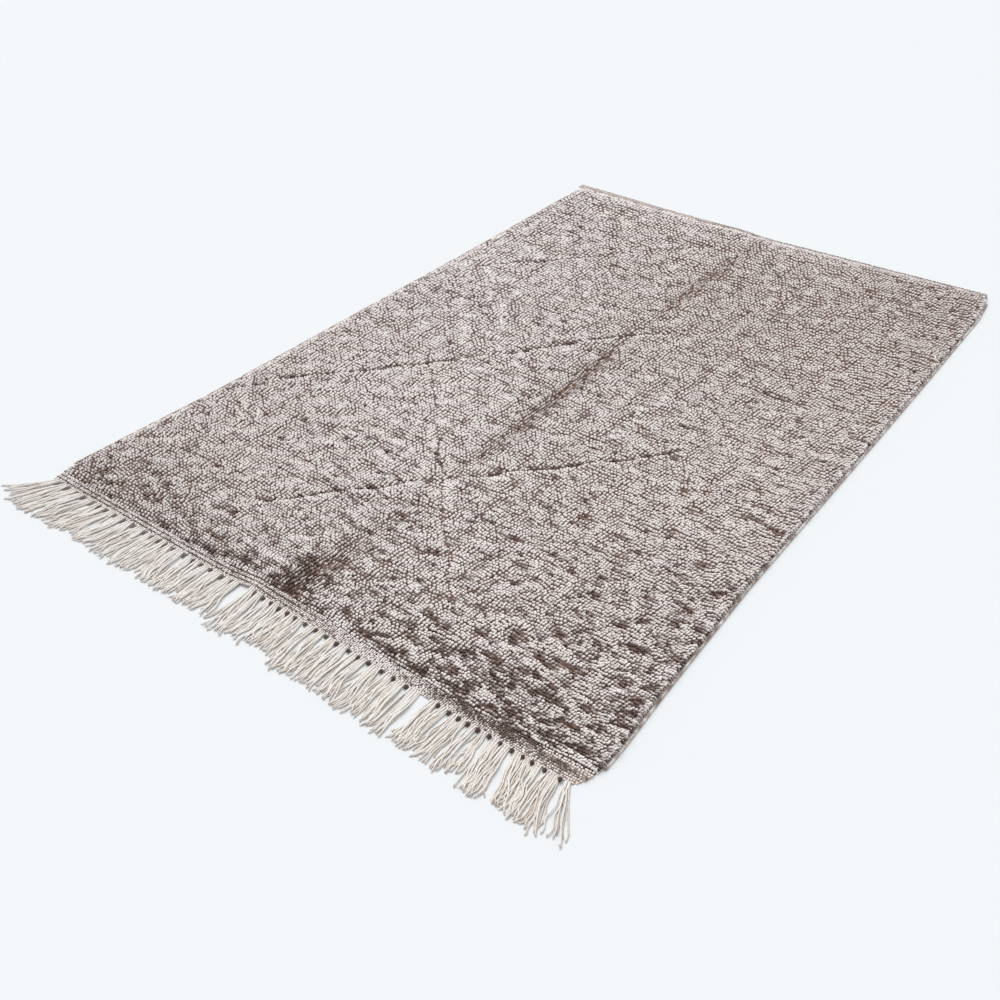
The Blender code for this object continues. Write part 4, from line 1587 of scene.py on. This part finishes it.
# A cord is a little slimmer at its root, and more so at its end.
Taper = namedtuple("Taper", "share size")
TAPER = (Taper(0.0, 0.90), Taper(0.1, 1.00), Taper(0.85, 1.00), Taper(1.0, 0.75))

FRAYS_PER_CORD = 4
FRAY_LENGTH = 0.009
FRAY_LENGTHS = (0.4, 1.2)
FRAY_RADIUS = 0.0008
FRAY_SPREAD = 0.55
FRAY_BEND = 0.0006
FRAY_RISE = (1.2, 3.0)
FRAY_ROOT = 0.005
FRAY_TONE_LOSS = 0.1

# The cords are thicker, and lie further apart, to the left. A radius is a share of the size
# that is set above, a pitch is in radii, and a tone is added to the layer's.
CordSize = namedtuple("CordSize", "x radius pitch tone")
CORD_SIZES = (
    CordSize(0.0, 1.10, 2.15, 0.05),
    CordSize(0.8, 0.96, 2.10, 0.00),
    CordSize(1.6, 0.82, 2.00, -0.15),
)

# The fringe lies in two layers. The lower one is shorter and darker, and shows in the gaps;
# its darker tone is painted shade under the upper cords.
Layer = namedtuple("Layer", "name turns rings sides length rise tone")
LAYERS = (
    Layer("fringe_under", 3.0, 12, 4, 0.90, 0.0000, 0.66),
    Layer("fringe_cords", 4.0, 24, 6, 1.00, 0.0022, 0.90),
)

# How a cord wanders: how far, and over how much of its length. It starts from its root.
Wander = namedtuple("Wander", "reach least_waves most_waves")
WANDERS = (
    Wander(0.0045, 0.4, 1.0),
    Wander(0.0024, 1.4, 2.8),
)

# The dark ends of weft between the groups of cords are rounder to the right.
Lobe = namedtuple("Lobe", "x radius length tone")
LOBES = (
    Lobe(0.0, 0.0028, 0.028, 0.26),
    Lobe(0.5, 0.0038, 0.018, 0.14),
    Lobe(1.1, 0.0056, 0.015, 0.00),
    Lobe(1.6, 0.0058, 0.015, 0.00),
)
LOBE_REACH = 0.045
LOBE_SIZES = (0.85, 1.1)
LOBE_TONES = (0.6, 1.2)
LOBE_INSIDE = 0.003
# How much of a lock's painted light the weft ends keep; the rest of it turns to painted shade.
LOBE_LIGHT = 0.6

Group = namedtuple("Group", "root width tip_from tip_to tip_y sway")


def fringe_groups():
    """The groups in which the fringe's cords leave the band, and where their ends lie."""
    groups = []
    for clump in CLUMPS:
        width = clump.root_to - clump.root_from
        count = max(1, round(width / GROUP_WIDTH))
        for number in range(count):
            ends = (mix(clump.tip_from, clump.tip_to, (number + step) / count) for step in (0, 1))
            root = mix(clump.root_from, clump.root_to, (number + 0.5) / count)
            groups.append(Group(root, width / count, *ends, clump.tip_y, clump.sway))
    return groups


def wandering(rng, share):
    """A cord's way to and fro, which grows from its root."""
    total = np.zeros_like(share)
    for wander in WANDERS:
        waves = rng.uniform(wander.least_waves, wander.most_waves) * math.tau
        swing = np.sin(share * waves + rng.uniform(0, math.tau))
        total += (swing - swing[0]) * rng.normal(0, wander.reach) * share
    return total


def cord_way(rng, share, layer, group, number, count, radius):
    """The way of one cord of a group: across, out from the band, and over those under it."""
    place = (number + 0.5) / count
    spread = (place - 0.5) * group.width
    packed = (number - (count - 1) / 2) * ROOT_PITCH
    tip = mix(group.tip_from, group.tip_to, place) + rng.normal(0, TIP_SCATTER_ACROSS)
    x = mix(group.root + spread, tip, share**FAN_CURVE) + (packed - spread) * (1 - share) ** 3
    x += group.sway * np.sin(np.pi * share) + wandering(rng, share)
    x += rng.normal(0, HOOK_REACH) * rising(share, HOOK_FROM, 1) ** 2
    uneven = noise.noise((tip * CORD_UNEVEN.across, 0.0, CORD_UNEVEN.layer)) * CORD_UNEVEN.size
    tip_y = (group.tip_y + uneven + rng.normal(0, TIP_SCATTER_ALONG)) * layer.length
    y = mix(value_at(NEAR_END, group.root, "band_front") + ROOT_INSIDE, tip_y, share)
    over = rng.uniform(0, 2) * layer.rise * np.sin(np.pi * share) ** 2
    stacked = (number % 2) * radius * (1 - share) ** 2
    raised = rng.uniform(0, 1) * layer.rise * share**4
    lifted = value_at(NEAR_END, group.root, "lift") * (1 - share) ** 2
    return np.stack([x, y, radius + over + stacked + raised + lifted], axis=1)


def fringe_lines(rng, levels, layer):
    """Every cord of a layer, with its thickness. The cords of a group fan out from its root."""
    lines, sizes, tones = [], [], []
    share = np.linspace(0, 1, levels)
    for group in fringe_groups():
        radius = value_at(CORD_SIZES, group.root, "radius") * bpy.context.scene.rug_sizes.cord_radius
        count = max(2, round(group.width / radius / value_at(CORD_SIZES, group.root, "pitch")))
        together = wandering(rng, share) * TOGETHER
        for number in range(count):
            way = cord_way(rng, share, layer, group, number, count, radius)
            way[:, 0] += together
            lines.append(way)
            sizes.append(radius)
            tone = layer.tone + value_at(CORD_SIZES, group.root, "tone") + rng.normal(0, CORD_TONE_SPREAD)
            tones.append(np.clip(tone - TIP_TONE_LOSS * share**3, 0, 1))
    return np.array(lines), np.array(sizes), np.array(tones)


class RUG_OT_fringe(bpy.types.Operator):
    """Lay out the twisted cords of the fringe, their frayed ends and the weft between them"""

    bl_idname = "rug.fringe"
    bl_label = "Fringe"

    def execute(self, context):
        rng = np.random.default_rng(SEED + 3)
        wool = fringe_wool()
        for layer in LAYERS:
            shape = cord_shape(layer.turns, layer.rings, CORD_PLIES, CORD_PINCH, layer.sides)
            # Painted light on the top of each cord, painted shade on its sides and underside and between
            # its plies.
            upper = rising(-shape.points[:, 1], 0, CORD_UPPER_SIDE)
            shape = shape._replace(light=mix(CORD_CREASE_LIGHT, 1, shape.light) * upper)
            centre, radius, tone = fringe_lines(rng, shape.level.max() + 1, layer)
            taper = read(TAPER, np.linspace(0, 1, centre.shape[1]), "size")
            lines = lines_along(centre, radius[:, None] * taper, tone, (0, 0, 1))
            dressed(threads(layer.name, shape, lines), wool)
        frays = threads("fringe_frays", fray_shape(), fray_lines(rng, centre, tone))
        dressed(frays, wool)
        shape = lock_shape()
        shape = shape._replace(light=shape.light * LOBE_LIGHT)
        dressed(threads("weft_ends", shape, weft_lines(rng)), weave_wool())
        return {"FINISHED"}


def fray_lines(rng, centre, tone):
    """Loose hairs of wool past the end of each cord."""
    tip = np.repeat(centre[:, -1], FRAYS_PER_CORD, axis=0)
    along = np.repeat(unit(centre[:, -1] - centre[:, -4]), FRAYS_PER_CORD, axis=0)
    along[:, 0] += rng.normal(0, FRAY_SPREAD, len(along))
    length = FRAY_LENGTH * rng.uniform(*FRAY_LENGTHS, len(along))[:, None]
    start = tip - along * FRAY_ROOT
    end = start + along * length
    start[:, 2] = FRAY_RADIUS * 2
    end[:, 2] = FRAY_RADIUS
    centre = stops_along(FRAY, start, end)
    centre[:, 1:3, 0] += rng.normal(0, FRAY_BEND, (len(centre), 1))
    centre[:, 1:3, 2] = FRAY_RADIUS * rng.uniform(*FRAY_RISE, (len(centre), 1))
    tones = np.repeat(tone[:, -1], FRAYS_PER_CORD)[:, None] - FRAY_TONE_LOSS
    return lines_along(centre, FRAY_RADIUS, tones, (0, 0, 1))


def weft_lines(rng):
    """Dark ends of weft that show between the groups of cords."""
    starts, ends, sizes, tones = [], [], [], []
    groups = fringe_groups()
    for group, other in zip(groups, groups[1:]):
        if other.root - group.root > LOBE_REACH:
            continue
        x = (group.root + other.root) / 2
        radius = value_at(LOBES, x, "radius") * rng.uniform(*LOBE_SIZES)
        length = value_at(LOBES, x, "length") * rng.uniform(*LOBE_SIZES)
        heading = (group.tip_to + other.tip_from) / 2 - x
        start = np.array([x, value_at(NEAR_END, x, "band_front") + LOBE_INSIDE, radius])
        starts.append(start)
        ends.append(start + length * np.array([*Vector((heading, group.tip_y)).normalized(), 0]))
        sizes.append(radius)
        tones.append(value_at(LOBES, x, "tone") * rng.uniform(*LOBE_TONES))
    stops = stops_along(LOCK, np.array(starts), np.array(ends))
    return lines_along(stops, np.array(sizes)[:, None], np.array(tones)[:, None], (0, 0, 1))


def fringe_wool():
    shades = colours()
    crowns = (
        (0.00, tuple(shades.brown)),
        (0.35, tuple(shades.beige)),
        (0.80, tuple(shades.cream)),
    )
    # creases: painted shade on the cords' sides and undersides and between their plies; the twist adds
    # painted shade between plies along each cord.
    creases = ((0.0, tuple(shades.brown)), (0.4, tuple(shades.beige)))
    return thread_wool("fringe_wool", crowns, creases, (0.10, 0.85), twist=0.30)


# ------------------------------------------------------------------ side cords

SIDE_RADIUS = 0.0029
WRAP_PITCH = 0.0034
WRAP_RINGS = 2
WRAP_SIDES = 7
WRAP_HOLLOW = 0.86
WRAP_OUT = 0.0003
WRAP_TONE_SPREAD = 0.9
WRAP_TONE_RUN = 9
SIDE_SECTIONS = 14
SIDE_FROM = 0.070
SIDE_TO = 2.420


class RUG_OT_side_cords(bpy.types.Operator):
    """Wrap the cords down the rug's two long sides"""

    bl_idname = "rug.side_cords"
    bl_label = "Side Cords"

    def execute(self, context):
        rng = np.random.default_rng(SEED + 4)
        turns = round((SIDE_TO - SIDE_FROM) / WRAP_PITCH / SIDE_SECTIONS)
        shape = wrap_shape(turns)
        wool = side_wool()
        steps = int(shape.level.max())
        y = np.linspace(SIDE_FROM, SIDE_TO, SIDE_SECTIONS * steps + 1)
        section = np.arange(SIDE_SECTIONS)[:, None] * steps + np.arange(steps + 1)
        for side, out in (("left", -1), ("right", 1)):
            x = read(SIDES, y, side) + out * WRAP_OUT
            centre = np.stack([x, y, np.full_like(y, SIDE_RADIUS)], axis=1)
            window = np.ones(WRAP_TONE_RUN) / WRAP_TONE_RUN
            tone = 0.5 + np.convolve(rng.normal(0, WRAP_TONE_SPREAD, len(y)), window, "same")
            tone = np.clip(tone, 0, 1)
            lines = lines_along(centre[section], SIDE_RADIUS, tone[section], (0, 0, 1))
            cord = threads(f"selvedge_{side}_wrap", shape, lines)
            dressed(cord, wool)
            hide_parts(f"selvedge_{side}")
        return {"FINISHED"}


def wrap_shape(turns):
    """A cord wrapped closely in yarn: a ridge for each wrap, with painted light on its crest and
    painted shade in the hollow between wraps.
    """
    shape = cord_shape(turns, turns * WRAP_RINGS, 1, 0.0, WRAP_SIDES)
    crown = (shape.level % WRAP_RINGS == 0).astype(float)
    shape.points[:, :2] *= mix(WRAP_HOLLOW, 1.0, crown)[:, None]
    return shape._replace(light=crown)


def side_wool():
    shades = colours()
    crowns = (
        (0.10, tuple(shades.brown)),
        (0.50, tuple(shades.wrap)),
        (0.95, tuple(shades.cream)),
    )
    # creases: painted shade in the hollows between the wraps.
    creases = ((0.0, tuple(shades.root)), (0.6, tuple(shades.brown)))
    return thread_wool("side_wool", crowns, creases, (0.0, 0.9))


# ------------------------------------------------------------------ add-on

STEPS = (
    RUG_OT_stage,
    RUG_OT_ground,
    RUG_OT_pile,
    RUG_OT_near_band,
    RUG_OT_far_band,
    RUG_OT_fringe,
    RUG_OT_side_cords,
)


class RUG_PT_panel(bpy.types.Panel):
    """Lists the rug's steps, sizes and colours"""

    bl_idname = "RUG_PT_panel"
    bl_label = "Beni Ourain Rug"
    bl_space_type = "VIEW_3D"
    bl_region_type = "UI"
    bl_category = "Rug"

    def draw(self, context):
        for step in STEPS:
            self.layout.operator(step.bl_idname)
        for group in (context.scene.rug_sizes, context.scene.rug_colours):
            for name in group.__annotations__:
                self.layout.prop(group, name)


CLASSES = (RugSizes, RugColours, *STEPS, RUG_PT_panel)


def register():
    for made in CLASSES:
        bpy.utils.register_class(made)
    bpy.types.Scene.rug_sizes = PointerProperty(type=RugSizes)
    bpy.types.Scene.rug_colours = PointerProperty(type=RugColours)


def unregister():
    del bpy.types.Scene.rug_colours
    del bpy.types.Scene.rug_sizes
    for made in reversed(CLASSES):
        bpy.utils.unregister_class(made)


def main():
    register()
    for step in STEPS:
        group, name = step.bl_idname.split(".")
        getattr(getattr(bpy.ops, group), name)()


if __name__ == "__main__":
    main()
